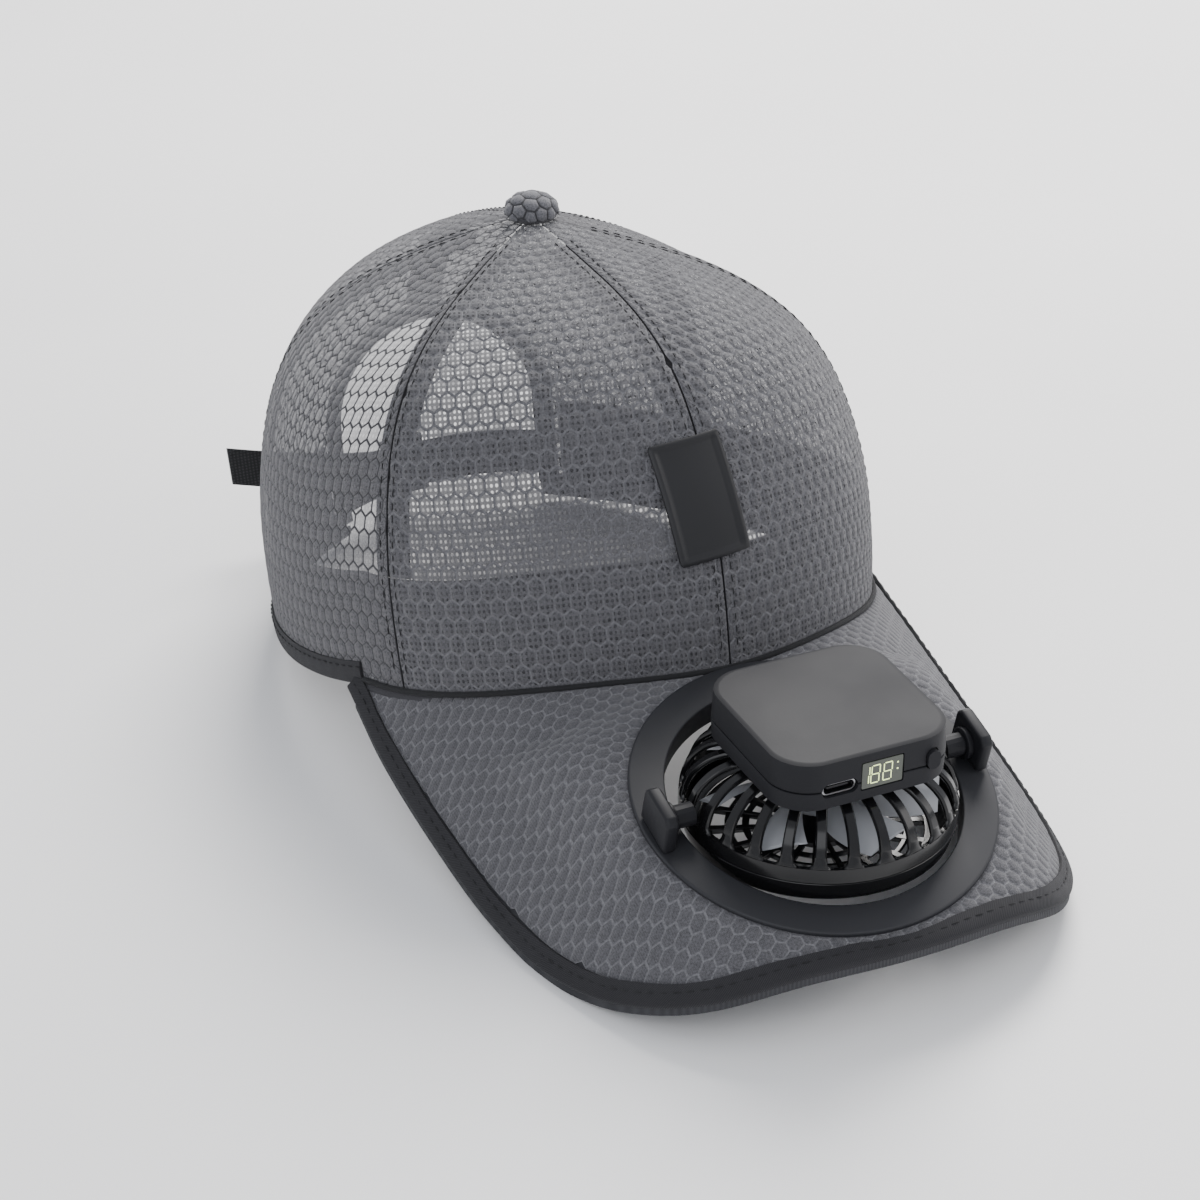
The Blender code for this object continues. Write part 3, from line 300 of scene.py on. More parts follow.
def crown_normal(angle, place):
    step = 0.02
    low = min(max(place, step), TOP_LEVEL - step)
    along = crown_point(angle + 1.0, low) - crown_point(angle - 1.0, low)
    up = crown_point(angle, low + step) - crown_point(angle, low - step)
    return along.cross(up).normalized()


def level_at(angle, height):
    low, high = 0.0, float(TOP_LEVEL)
    for _ in range(22):
        middle = (low + high) / 2
        if crown_point(angle, middle).z < height:
            low = middle
        else:
            high = middle
    return low


def degrees_across(angle, place, width):
    rate = (crown_point(angle + 0.5, place) - crown_point(angle - 0.5, place)).length
    return width / rate


def arch_share(height):
    """How much of the back opening's half angle is open at a height."""
    if height <= ARCH_SPRING:
        return 1.0
    share = (height - ARCH_SPRING) / (ARCH_TOP - ARCH_SPRING)
    return math.sqrt(1 - share * share) if share < 1 else 0.0


# Mesh helpers


def put(name, mesh, body, mat, cad=(), smooth=True, angle=35):
    obj = bpy.data.objects.new(name, mesh)
    bpy.context.scene.collection.objects.link(obj)
    mesh.materials.append(mat)
    if smooth:
        mesh.shade_smooth()
        mesh.set_sharp_from_angle(angle=math.radians(angle))
    if cad:
        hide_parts(*cad)
    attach(obj, body)
    return obj


def mesh_of(name, points, faces, flat=None, rib=None):
    """A mesh with its cloth coordinates, in millimetres, and its rib value kept on its points."""
    mesh = bpy.data.meshes.new(name)
    mesh.from_pydata([tuple(p) for p in points], [], faces)
    if flat is not None:
        store = mesh.attributes.new("flat", "FLOAT_VECTOR", "POINT")
        store.data.foreach_set("vector", [v for pair in flat for v in (pair[0], pair[1], 0.0)])
    if rib is not None:
        store = mesh.attributes.new("rib", "FLOAT", "POINT")
        store.data.foreach_set("value", rib)
    mesh.update()
    return mesh


def fix_faces(mesh, weld=0.0):
    work = bmesh.new()
    work.from_mesh(mesh)
    if weld:
        bmesh.ops.remove_doubles(work, verts=work.verts, dist=weld)
    bmesh.ops.recalc_face_normals(work, faces=work.faces)
    work.to_mesh(mesh)
    work.free()
    return mesh


def rings(rows, count, start=0, caps=True):
    """Faces of a tube: its points come in rows, and each row closes on itself."""
    faces = []
    for i in range(rows - 1):
        for j in range(count):
            a, b = start + i * count + j, start + i * count + (j + 1) % count
            faces.append((a, b, b + count, a + count))
    if caps:
        last = start + count * (rows - 1)
        faces += [tuple(range(start, start + count)), tuple(range(last, last + count))]
    return faces


def heading(turn):
    return Vector((math.cos(turn), math.sin(turn), 0))


def measured(section):
    """How far each point of a section lies along it."""
    across = [0.0]
    for a, b in zip(section, section[1:]):
        across.append(across[-1] + (b - a).length)
    return across


def tube(name, sections, across=None):
    """Closed sections joined into a tube, with cloth coordinates along and round it."""
    count = len(sections[0])
    across = across or [0.0] * count
    points, flat = [], []
    along = 0.0
    for i, section in enumerate(sections):
        if i:
            along += (section[0] - sections[i - 1][0]).length * 1000
        points += section
        flat += [(along, value * 1000) for value in across]
    return fix_faces(mesh_of(name, points, rings(len(sections), count), flat))


def slab(name, rows, normals, thickness):
    """A strip of cloth between rows of points, as thick as it says, with its edges closed."""
    sections = []
    for row, normal_row in zip(rows, normals):
        back = [p - n * thickness for p, n in zip(row, normal_row)]
        sections.append(list(row) + back[::-1])
    return tube(name, sections, measured(sections[len(sections) // 2]))


def turned(name, profile, steps):
    """A closed profile of (radius, height) points turned round Z."""
    points = []
    for i in range(steps):
        way = heading(2 * math.pi * i / steps)
        points += [way * r + Vector((0, 0, z)) for r, z in profile]
    quads = rings(steps + 1, len(profile), caps=False)
    faces = [tuple(v % len(points) for v in quad) for quad in quads]
    return fix_faces(mesh_of(name, points, faces), 1e-6)


def rounded_profile(corners, radius, steps=4):
    """A closed profile with each of its corners rounded."""
    out = []
    count = len(corners)
    for i, corner in enumerate(corners):
        here = Vector((*corner, 0))
        before = (Vector((*corners[i - 1], 0)) - here).normalized()
        after = (Vector((*corners[(i + 1) % count], 0)) - here).normalized()
        for step in range(steps + 1):
            t = step / steps
            place = here + before * radius * (1 - t) ** 2 + after * radius * t * t
            out.append((place.x, place.y))
    return out


# Materials


class Shader:
    """A Principled material and short ways to add nodes to it."""

    def __init__(self, name, colour, roughness, specular=0.5, metallic=0.0):
        self.mat = bpy.data.materials.new(name)
        self.mat.use_nodes = True
        self.tree = self.mat.node_tree
        self.main = self.tree.nodes["Principled BSDF"]
        self.main.inputs["Base Color"].default_value = (*colour, 1)
        self.main.inputs["Roughness"].default_value = roughness
        self.main.inputs["Metallic"].default_value = metallic
        self.main.inputs["Specular IOR Level"].default_value = specular

    def node(self, kind, **values):
        made = self.tree.nodes.new(kind)
        for key, value in values.items():
            setattr(made, key, value)
        return made

    def link(self, a, b):
        self.tree.links.new(a, b)

    def math(self, operation, a, b=None, clamp=False):
        made = self.node("ShaderNodeMath", operation=operation, use_clamp=clamp)
        for socket, value in zip(made.inputs, (a, b)):
            if value is None:
                continue
            if isinstance(value, (int, float)):
                socket.default_value = value
            else:
                self.link(value, socket)
        return made.outputs[0]

    def split(self, vector):
        made = self.node("ShaderNodeSeparateXYZ")
        self.link(vector, made.inputs[0])
        return made.outputs

    def flat(self):
        return self.split(self.node("ShaderNodeAttribute", attribute_name="flat").outputs["Vector"])[:2]

    def place(self):
        return self.node("ShaderNodeTexCoord").outputs["Object"]

    def noise(self, scale, detail=3.0):
        made = self.node("ShaderNodeTexNoise")
        made.inputs["Scale"].default_value = scale
        made.inputs["Detail"].default_value = detail
        self.link(self.place(), made.inputs["Vector"])
        return made.outputs["Fac"]

    def mix(self, factor, a, b):
        made = self.node("ShaderNodeMix", data_type="RGBA")
        self.link(factor, made.inputs["Factor"])
        for socket, value in ((made.inputs["A"], a), (made.inputs["B"], b)):
            if isinstance(value, tuple):
                socket.default_value = (*value, 1)
            else:
                self.link(value, socket)
        return made.outputs["Result"]

    def remap(self, value, low, high, to_low=0.0, to_high=1.0):
        made = self.node("ShaderNodeMapRange")
        self.link(value, made.inputs["Value"])
        for key, number in zip(("From Min", "From Max", "To Min", "To Max"), (low, high, to_low, to_high)):
            made.inputs[key].default_value = number
        return made.outputs[0]

    def bump(self, height, strength, distance):
        made = self.node("ShaderNodeBump")
        made.inputs["Strength"].default_value = strength
        made.inputs["Distance"].default_value = distance
        self.link(height, made.inputs["Height"])
        self.link(made.outputs[0], self.main.inputs["Normal"])

    def feed(self, name, socket):
        self.link(socket, self.main.inputs[name])

    def wave(self, value, pitch):
        """A wave between 0 and 1."""
        wave = self.math("SINE", self.math("MULTIPLY", value, 2 * math.pi / pitch))
        return self.math("ADD", self.math("MULTIPLY", wave, 0.5), 0.5)

    def weave(self, across, along, wide, tall):
        return self.math("MULTIPLY", self.wave(across, wide), self.wave(along, tall))


def tinted(colour, share):
    return tuple(v * share for v in colour)


def net_cloth(name, cell, rib, cell_alpha, holes):
    """Honeycomb net: sheer knitted cells between ribs. holes is how open the coarse weave is. The cell and
    rib colours are given per panel and carry painted light and painted shade.
    """
    s = Shader(name, cell, 0.85, 0.25)
    ribs = s.node("ShaderNodeAttribute", attribute_name="rib").outputs["Fac"]
    across, along = s.flat()
    mask = s.remap(ribs, 0.15, 0.70)
    grid = s.weave(across, along, *NET_HOLE_PITCH)
    fine = s.weave(across, along, *NET_YARN_PITCH)
    grain = s.remap(s.noise(2100.0, 2.0), 0.32, 0.68)
    patchy = s.remap(s.noise(420.0, 2.0), 0.38, 0.62, 0.25, 1.0)
    shade = s.mix(grain, tinted(cell, 0.62), tinted(cell, 1.40))
    threads = s.mix(s.math("MULTIPLY", fine, 0.5), shade, tinted(cell, 1.7))
    line = s.mix(grain, tinted(rib, 0.75), tinted(rib, 1.25))
    s.feed("Base Color", s.mix(mask, threads, line))
    height = s.math("ADD", s.math("MULTIPLY", fine, 0.4), s.math("MULTIPLY", grid, -0.5 * min(holes * 2, 1)))
    s.bump(s.math("ADD", height, s.math("MULTIPLY", grain, 0.6)), 0.55, 0.00022)
    opening = s.math("MULTIPLY", s.math("MULTIPLY", s.remap(grid, 0.25, 0.62), holes), patchy)
    sheer = s.math("SUBTRACT", cell_alpha, opening, True)
    s.feed("Alpha", s.math("ADD", mask, sheer, True))
    s.main.inputs["Sheen Weight"].default_value = 0.2
    s.main.inputs["Sheen Roughness"].default_value = 0.5
    return s.mat


def tape_cloth(name, dark, light, pitch=0.62, slant=1.0):
    """Twill tape: fine slanting ribs, from the coordinates along and across the tape."""
    s = Shader(name, dark, 0.86, 0.2)
    along, across = s.flat()
    diagonal = s.math("ADD", along, s.math("MULTIPLY", across, slant))
    twill = s.wave(diagonal, pitch)
    shade = s.mix(s.remap(s.noise(90.0), 0.3, 0.8), dark, tinted(dark, 1.2))
    s.feed("Base Color", s.mix(s.math("MULTIPLY", twill, 0.6), shade, light))
    s.bump(twill, 0.5, 0.00018)
    s.main.inputs["Sheen Weight"].default_value = 0.06
    return s.mat


def moulded(name, colour, roughness, specular=0.5, grain=900.0, depth=0.00004, strength=0.25, metallic=0.0):
    """Moulded plastic, rubber or metal with a fine grain and slight handling marks."""
    s = Shader(name, colour, roughness, specular, metallic)
    vary = s.noise(22.0, 5.0)
    s.feed("Base Color", s.mix(s.remap(vary, 0.35, 0.7), tinted(colour, 0.9), tinted(colour, 1.12)))
    s.feed("Roughness", s.remap(vary, 0.3, 0.75, roughness - 0.05, roughness + 0.07))
    s.bump(s.noise(grain, 2.0), strength, depth)
    return s.mat


# Painted light: the side, front and peak nets are one honeycomb fabric in lit and shaded copies. The side net
# has light cells against darker ribs, painted light shining through the sheer cells. The front and peak nets
# have darker cells and lightened ribs, a painted highlight where light catches the ribs.
NET_SIDE_PAINTED_BACKLIGHT = net_cloth("net_side_painted_backlight", (0.118, 0.116, 0.123), (0.040, 0.0395, 0.043), 0.74, 0.14)
NET_FRONT_PAINTED_HIGHLIGHT = net_cloth("net_front_painted_highlight", (0.074, 0.073, 0.079), (0.122, 0.121, 0.130), 0.94, 0.56)
NET_PEAK_PAINTED_HIGHLIGHT = net_cloth("net_peak_painted_highlight", (0.068, 0.067, 0.073), (0.140, 0.139, 0.148), 1.0, 0.0)
NET_BUTTON = net_cloth("net_button", (0.100, 0.099, 0.108), (0.036, 0.0355, 0.039), 1.0, 0.0)
PLAIN_CLOTH = net_cloth("plain_cloth", (0.043, 0.042, 0.047), (0.052, 0.051, 0.056), 1.0, 0.0)
PEAK_LINING = tape_cloth("peak_lining", (0.030, 0.030, 0.033), (0.052, 0.052, 0.056), 0.9, 0.35)
TAPE = tape_cloth("twill_tape", (0.0145, 0.0142, 0.0160), (0.040, 0.0395, 0.043))
BAND = tape_cloth("band_cloth", (0.030, 0.0295, 0.033), (0.052, 0.051, 0.056), 0.5, 0.0)
WEBBING = tape_cloth("webbing_weave", (0.012, 0.012, 0.013), (0.045, 0.045, 0.048), 1.1, 0.0)
THREAD = tape_cloth("sewing_thread", (0.010, 0.010, 0.011), (0.026, 0.026, 0.028), 0.3, 1.0)
RUBBER = moulded("patch_rubber_fine", (0.0105, 0.0105, 0.0120), 0.46, 0.30)
SATIN = moulded("satin_fine", (0.019, 0.0194, 0.0225), 0.56, 0.30)
BOX_SATIN = moulded("box_satin", (0.0135, 0.0137, 0.0160), 0.56, 0.15, 1400.0)
EAR_SATIN = moulded("ear_plastic", (0.0125, 0.0127, 0.0150), 0.50, 0.20, 900.0, 0.00002, 0.15)
GLOSS = moulded("gloss_fine", (0.0050, 0.0050, 0.0055), 0.17, 0.36, 300.0, 0.00002, 0.1)
BLADE = moulded("blade_fine", (0.40, 0.41, 0.43), 0.30, 0.5, 300.0, 0.00002, 0.1)
METAL = moulded("socket_steel", (0.30, 0.30, 0.31), 0.32, metallic=1.0)
GLASS = moulded("window_smoke", (0.050, 0.056, 0.044), 0.16, 0.5, 300.0, 0.00001, 0.05)


# The honeycomb net


def hexagons(name, columns, rows, locate, keep, settle, rise=CELL_RISE, cell=(CELL_WIDTH, CELL_PITCH)):
    """Pillowed six-sided cells. locate turns flat coordinates into a point and its normal, keep says if a
    cell's middle is wanted, and settle moves a flat corner on to the piece's edge where it lies outside."""
    half, quarter = cell[0] / 2, cell[1] / 3
    corners = ((0, 2), (1, 1), (1, -1), (0, -2), (-1, -1), (-1, 1))
    points, flat, ribs, faces, known = [], [], [], [], {}

    def add(point, place, rib):
        points.append(point)
        flat.append((place[0] * 1000, place[1] * 1000))
        ribs.append(rib)
        return len(points) - 1

    for row in range(*rows):
        for column in range(*columns):
            i, j = 2 * column + row % 2, 3 * row
            middle = (i * half, j * quarter)
            if not keep(*middle):
                continue
            ring = [settle((i + a) * half, (j + b) * quarter) for a, b in corners]
            area = sum(p[0] * q[1] - q[0] * p[1] for p, q in zip(ring, ring[1:] + ring[:1])) / 2
            share = abs(area) / (cell[0] * cell[1])
            if share < 0.12:
                continue
            centre = (sum(p[0] for p in ring) / 6, sum(p[1] for p in ring) / 6)
            top, normal = locate(*centre)
            lift = normal * rise * min(share, 1.0) ** 0.5
            outer, inner = [], []
            for (a, b), place in zip(corners, ring):
                key = (i + a, j + b)
                if key not in known:
                    known[key] = add(locate(*place)[0], place, 1.0)
                outer.append(known[key])
                base = points[known[key]]
                near = (lerp(place[0], centre[0], CELL_RIB), lerp(place[1], centre[1], CELL_RIB))
                inner.append(add(base.lerp(top, CELL_RIB) + lift * 0.8, near, 0.0))
            tip = add(top + lift, centre, 0.0)
            for k in range(6):
                m = (k + 1) % 6
                faces.append((outer[m], outer[k], inner[k], inner[m]))
                faces.append((inner[m], inner[k], tip))
    return mesh_of(name, points, faces, flat, ribs)


def crown_panel(name, first, sign, cad, mat):
    """One panel of the crown: flat coordinates run round it from its middle, and up it from the rim."""
    middle = first + PANEL_ANGLE / 2
    steps = 160
    places = spread(0.0, float(TOP_LEVEL), steps + 1)
    lengths = measured([crown_point(middle, place) for place in places])
    rates = [(crown_point(middle + 0.5, p) - crown_point(middle - 0.5, p)).length for p in places]
    limits = []
    for place, rate in zip(places, rates):
        trim = SEAM_GAP / 2 / rate
        opening = 0.0
        if first == 120.0:
            opening = ARCH_HALF_ANGLE * arch_share(crown_point(180, place).z)
        limits.append((first + trim - middle, first + PANEL_ANGLE - max(trim, opening) - middle))

    def at(height):
        """The row number, as a fraction, that lies this far up the panel."""
        height = min(max(height, 0.0), lengths[-1])
        low = min(bisect_right(lengths, height) - 1, steps - 1)
        return low + (height - lengths[low]) / (lengths[low + 1] - lengths[low])

    def read(values, row):
        i = min(int(row), steps - 1)
        return lerp(values[i], values[i + 1], row - i)

    def ends(row):
        i = min(int(row), steps - 1)
        return [lerp(limits[i][k], limits[i + 1][k], row - i) * read(rates, row) for k in (0, 1)]

    def settle(across, up):
        up = min(max(up, 0.0), lengths[-1])
        low, high = ends(at(up))
        return min(max(across, low), high), up

    def keep(across, up):
        if not -CELL_PITCH * 0.5 < up < lengths[-1]:
            return False
        low, high = ends(at(up))
        return low - CELL_WIDTH * 0.4 < across < high + CELL_WIDTH * 0.4

    def locate(across, up):
        row = at(up)
        place = read(places, row)
        angle = sign * (middle + across / read(rates, row))
        return crown_point(angle, place), crown_normal(angle, place)

    rows = (-1, int(lengths[-1] / CELL_PITCH) + 2)
    reach = int(max(rates) * 32 / CELL_WIDTH) + 2
    mesh = hexagons(name, (-reach, reach + 1), rows, locate, keep, settle)
    if sign < 0:
        mesh.flip_normals()
    return put(name, mesh, "cap", mat, [cad], angle=60)


# The peak's surface, as in the solid


def outline_points(count):
    whole = [OutlinePoint(-side, forward) for side, forward in PEAK_OUTLINE] + list(PEAK_OUTLINE[-2::-1])
    sides = [point.side * CROWN_HALF_WIDTH for point in whole]
    reach = [point.forward * PEAK_LENGTH + CROWN_HALF_LENGTH for point in whole]
    places = spread(0, len(whole) - 1, count)
    return [Vector((cubic(sides, place), -cubic(reach, place), 0)) for place in places]


def peak_spoke(end, turn, share):
    out = Vector((math.cos(turn), math.sin(turn) * PEAK_FLAT, 0))
    hole = Vector((0, RING_Y, 0)) + out * HOLE_RADIUS
    way = Vector((end.x, end.y, 0)) - hole
    level = min((RING_RADIUS + GAP - HOLE_RADIUS) / way.length, PEAK_LEVEL_LIMIT)
    part = lerp(level, 1.0, share) if share >= 0 else 0.0
    side = math.copysign(1.0, end.x) if abs(end.x) > 1e-6 else 0.0
    ahead = turn if side >= 0 else -math.pi - turn
    wing = max(math.cos(ahead - math.radians(PEAK_WING_TURN)), 0.0) ** 4
    bow = Vector((way.y, -way.x, 0)).normalized() * side
    place = hole + way * part + bow * (PEAK_WING_BOW * wing * 4 * part * (1 - part))
    share = max(share, 0.0)
    eased = min(2.2 * share, 1.0)
    plain = peak_arch(place.x) * eased * eased * (3 - 2 * eased)
    fall = (ring_plane_height(end.y) - end.z) * share**PEAK_FALL_POWER
    place.z = ring_plane_height(place.y) - lerp(fall, plain, wing)
    return place


def spoke_turn(point):
    return math.atan2((point.y - RING_Y) / PEAK_FLAT, abs(point.x))


def peak_ends():
    """The ends of the spokes from the ring's hole: points of the peak's edge, each with its turn."""
    outline = outline_points(OUTLINE_COUNT)
    corner = math.radians(PEAK_CORNER_TURN)
    ends = []
    for point in outline:
        point.z = peak_height(point.x, point.y)
        turn = spoke_turn(point)
        if turn > -corner:
            turn = lerp(-corner, corner, (turn + corner) / (spoke_turn(outline[0]) + corner))
        ends.append((point, turn if point.x >= 0 else -math.pi - turn))
    step = 1.2 * (math.pi - 2 * corner) / 20
    turns = spread(corner + step, math.pi - corner - step, RIM_COUNT + 1)
    for angle, turn in zip(spread(PEAK_END, -PEAK_END, RIM_COUNT + 1), turns):
        x, y = rim_plan(angle)
        place = Vector((x, y, 0)) + Vector((x, y, 0)).normalized() * PEAK_RIM_GAP
        place.z = peak_height(x, y)
        ends.append((place, turn))
    return ends


def room_to_crown(start, way, wanted):
    reach = 0.0
    while reach < wanted:
        place = start + way * (reach + 2 * PEAK_RIM_GAP)
        if (place.x / CROWN_HALF_WIDTH) ** 2 + (place.y / CROWN_HALF_LENGTH) ** 2 < 1.0:
            return reach
        reach += GAP
    return wanted


OUTLINE_COUNT = 129
RIM_COUNT = 72
ENDS = peak_ends()


def peak_rows(shares):
    return [[peak_spoke(end, turn, share) for end, turn in ENDS] for share in [-1.0] + shares]


def peak_tree():
    rows = peak_rows(spread(0.0, 1.0, 22))
    points = [tuple(point) for row in rows for point in row]
    return BVHTree.FromPolygons(points, rings(len(rows), len(ENDS), caps=False))


def outline_depth(x, y, outline):
    """How far a point of the plan lies inside the peak's edge, and the way inwards there."""
    nearest = min(range(len(outline)), key=lambda i: (outline[i].x - x) ** 2 + (outline[i].y - y) ** 2)
    a = outline[max(nearest - 1, 0)]
    b = outline[min(nearest + 1, len(outline) - 1)]
    along = (b - a).normalized()
    inward = Vector((-along.y, along.x, 0))
    return (Vector((x, y, 0)) - outline[nearest]).dot(inward), inward


def build_peak():
    tree = peak_tree()
    outline = [Vector((end.x, end.y, 0)) for end, _ in ENDS[:OUTLINE_COUNT]]
    lift, rise, slope_step = 0.00025, 0.00034, 0.0008
    tuck = 0.0033
    hole = RING_RADIUS - 0.0015
    front_of_crown = -0.036
    edge = 1.0 + 0.6 * PEAK_RIM_GAP / CROWN_HALF_WIDTH

    def height(x, y):
        hit = tree.ray_cast(Vector((x, y, 0.2)), Vector((0, 0, -1)))[0]
        return hit.z if hit else peak_height(x, y)

    def locate(x, y):
        step = slope_step
        slope_x = (height(x + step, y) - height(x - step, y)) / (2 * step)
        slope_y = (height(x, y + step) - height(x, y - step)) / (2 * step)
        normal = Vector((-slope_x, -slope_y, 1)).normalized()
        return Vector((x, y, height(x, y))) + normal * lift, normal

    def crown_share(x, y):
        return math.hypot(x / CROWN_HALF_WIDTH, y / CROWN_HALF_LENGTH)

    def settle(x, y):
        depth, inward = outline_depth(x, y, outline)
        if depth < tuck:
            x += inward.x * (tuck - depth)
            y += inward.y * (tuck - depth)
        share = crown_share(x, y)
        if share < edge:
            x, y = x * edge / share, y * edge / share
        away = math.hypot(x, (y - RING_Y) / PEAK_FLAT)
        if away < hole:
            x, y = x * hole / away, RING_Y + (y - RING_Y) * hole / away
        return x, y

    def keep(x, y):
        if crown_share(x, y) < edge - 0.020 or y > front_of_crown:
            return False
        if math.hypot(x, (y - RING_Y) / PEAK_FLAT) < hole - PEAK_CELL_WIDTH * 0.45:
            return False
        return outline_depth(x, y, outline)[0] > tuck - PEAK_CELL_WIDTH * 0.5

    cell = (PEAK_CELL_WIDTH, PEAK_CELL_PITCH)
    mesh = hexagons("peak_net", (-24, 25), (-72, -9), locate, keep, settle, rise, cell)
    fix_faces(mesh)
    # The peak net's lightened ribs are a painted highlight.
    put("peak_net", mesh, "cap", NET_PEAK_PAINTED_HIGHLIGHT, angle=60)

    rows = peak_rows(spread(0.0, 0.997, 20))
    count, total = len(ENDS), len(rows) * len(ENDS)
    points = [point for row in rows for point in row]
    points += [point - Vector((0, 0, PEAK_THICKNESS)) for point in points]
    faces = rings(len(rows), count, caps=False) + rings(len(rows), count, total, caps=False)
    for start in (0, total - count):
        for j in range(count):
            a, b = start + j, start + (j + 1) % count
            faces.append((a, b, total + b, total + a))
    flat = [(point.x * 1000, point.y * 1000) for point in points]
    mesh = fix_faces(mesh_of("peak_cloth", points, faces, flat))
    put("peak_cloth", mesh, "cap", PEAK_LINING, ["peak"], angle=50)


# How far the tape runs on past the peak's ends, and what share of its width it keeps there
PEAK_TAPE_RUNS = ((0.0011, 0.96), (0.0022, 0.90), (0.0034, 0.82), (0.0046, 0.74))
LEAF_LEAST = 0.0008


def peak_tape_frames():
    """The peak's edge: where the cloth ends, the way inwards and the way up, and how wide the tape is."""
    wanted = PEAK_TAPE_LEAF + 2 * GAP
    last = OUTLINE_COUNT - 1
    found = []
    for i in range(OUTLINE_COUNT):
        end, turn = ENDS[i]
        length = (peak_spoke(end, turn, 0.0) - end).length
        way = (peak_spoke(end, turn, 0.9) - end).normalized()
        ahead = (ENDS[min(i + 1, last)][0] - ENDS[max(i - 1, 0)][0]).normalized()
        way = (way - ahead * way.dot(ahead)).normalized()
        edge = end + way * OUTLINE_EDGE
        width = min(room_to_crown(edge, way, wanted), length - OUTLINE_EDGE - 3 * GAP)
        up = way.cross(ahead).normalized()
        found.append((edge, way, up if up.z > 0 else -up, max(width - 2 * GAP, LEAF_LEAST), ahead))
    before, after = [], []
    for reach, share in PEAK_TAPE_RUNS:
        for ends, out, (edge, way, up, width, ahead) in ((before, -1, found[0]), (after, 1, found[-1])):
            ends.append((edge + ahead * reach * out, way, up, max(width * share, LEAF_LEAST), ahead))
    return before[::-1] + found + after


def build_peak_tape():
    skin = TAPE_THICKNESS
    high = PEAK_TAPE_ROOM
    low = -PEAK_THICKNESS - PEAK_TAPE_ROOM
    tall = (high + skin - low + skin) / 2
    middle = (high + skin + low - skin) / 2
    sections, above, below = [], [], []
    for i, (edge, inward, up, full, _) in enumerate(peak_tape_frames()):
        pucker = 0.00009 * math.sin(i * 1.9) + 0.00006 * math.sin(i * 0.83)
        leaf = full + 0.00015 * math.sin(i * 0.6)
        shape = [(leaf, high + skin * 0.75 + pucker), (leaf * 0.55, high + skin + pucker)]
        for step in range(7):
            a = math.radians(90 + 30 * step)
            shape.append((-0.0002 + (GAP + skin - 0.0002) * math.cos(a), middle + tall * math.sin(a)))
        shape += [(leaf, low - skin), (leaf, low - 0.00005), (0.0, low), (-GAP * 0.5, 0.0)]
        shape += [(0.0, high), (leaf * 0.55, high), (leaf, high - 0.0001)]
        sections.append([edge + inward * across + up * rise for across, rise in shape])
        seam = edge + inward * max(full - 0.0022, full * 0.5)
        above.append((seam + up * (high + skin - 0.0001), up))
        below.append((seam + up * (low - skin), -up))
    mesh = tube("peak_tape", sections, measured(sections[40]))
    put("peak_tape", mesh, "cap", TAPE, ["peak_binding"], angle=70)
    stitch_line("peak_tape_stitches", above, 0.0030, 0.0006, 0.00022)
    stitch_line("peak_under_stitches", below, 0.0030, 0.0006, 0.00020)


# Stitches


# Along one stitch: the share of its length, its thickness, and how far it stands out of the cloth
STITCH = ((0.0, 0.35, -0.6), (0.2, 0.95, 0.25), (0.5, 1.0, 0.45), (0.8, 0.95, 0.25), (1.0, 0.35, -0.6))


def resample(line, pitch):
    """Walks a line of (point, normal) pairs in equal steps."""
    out, travelled, target = [], 0.0, 0.0
    for (a, normal_a), (b, normal_b) in zip(line, line[1:]):
        length = (b - a).length
        while target <= travelled + length and length > 0:
            t = (target - travelled) / length
            out.append((a.lerp(b, t), normal_a.lerp(normal_b, t).normalized()))
            target += pitch
        travelled += length
    return out


def stitch_line(name, line, length, gap, radius):
    """A row of sewn stitches: each is a short thread, thick in its middle and sunk at both ends."""
    places = resample(line, (length + gap) / 4)
    points, faces, flat = [], [], []
    sides = 6
    span = length / (length + gap)
    for (a, normal), (far, _) in zip(places[::4], places[4::4]):
        b = a.lerp(far, span)
        across = normal.cross((b - a).normalized()).normalized()
        faces += rings(len(STITCH), sides, len(points))
        for t, thick, sink in STITCH:
            middle = a.lerp(b, t) + normal * radius * sink
            for k in range(sides):
                way = heading(2 * math.pi * k / sides)
                points.append(middle + (across * way.x + normal * way.y) * radius * thick)
                flat.append((t * length * 1000, k * 0.3))
    mesh = fix_faces(mesh_of(name, points, faces, flat))
    return put(name, mesh, "cap", THREAD, angle=80)


def build_seam_stitches():
    for number, seam in enumerate((-120.0, -60.0, 0.0, 60.0, 120.0, 180.0), 1):
        low = 0.35 if seam != 180.0 else level_at(180, ARCH_TOP) + 0.35
        for side, word in ((-1, "right"), (1, "left")):
            line = []
            for place in spread(low, 9.2, 46):
                angle = seam + side * degrees_across(seam, place, 0.0023)
                normal = crown_normal(angle, place)
                line.append((crown_point(angle, place) + normal * (CELL_RISE * 0.9), normal))
            stitch_line(f"seam_stitches_{number}_{word}", line, 0.0021, 0.0013, 0.00017)


# Bands and tapes inside the crown


def strip_on_crown(name, rows, depth, thickness, mat, cad):
    """A strip under the crown's cloth. rows hold (angle, level) pairs, row by row along the strip."""
    normals = [[crown_normal(*spot) for spot in row] for row in rows]
    points = [[crown_point(*spot) - n * depth for spot, n in zip(*pair)] for pair in zip(rows, normals)]
    return put(name, slab(name, points, normals, thickness), "cap", mat, [cad], angle=50)


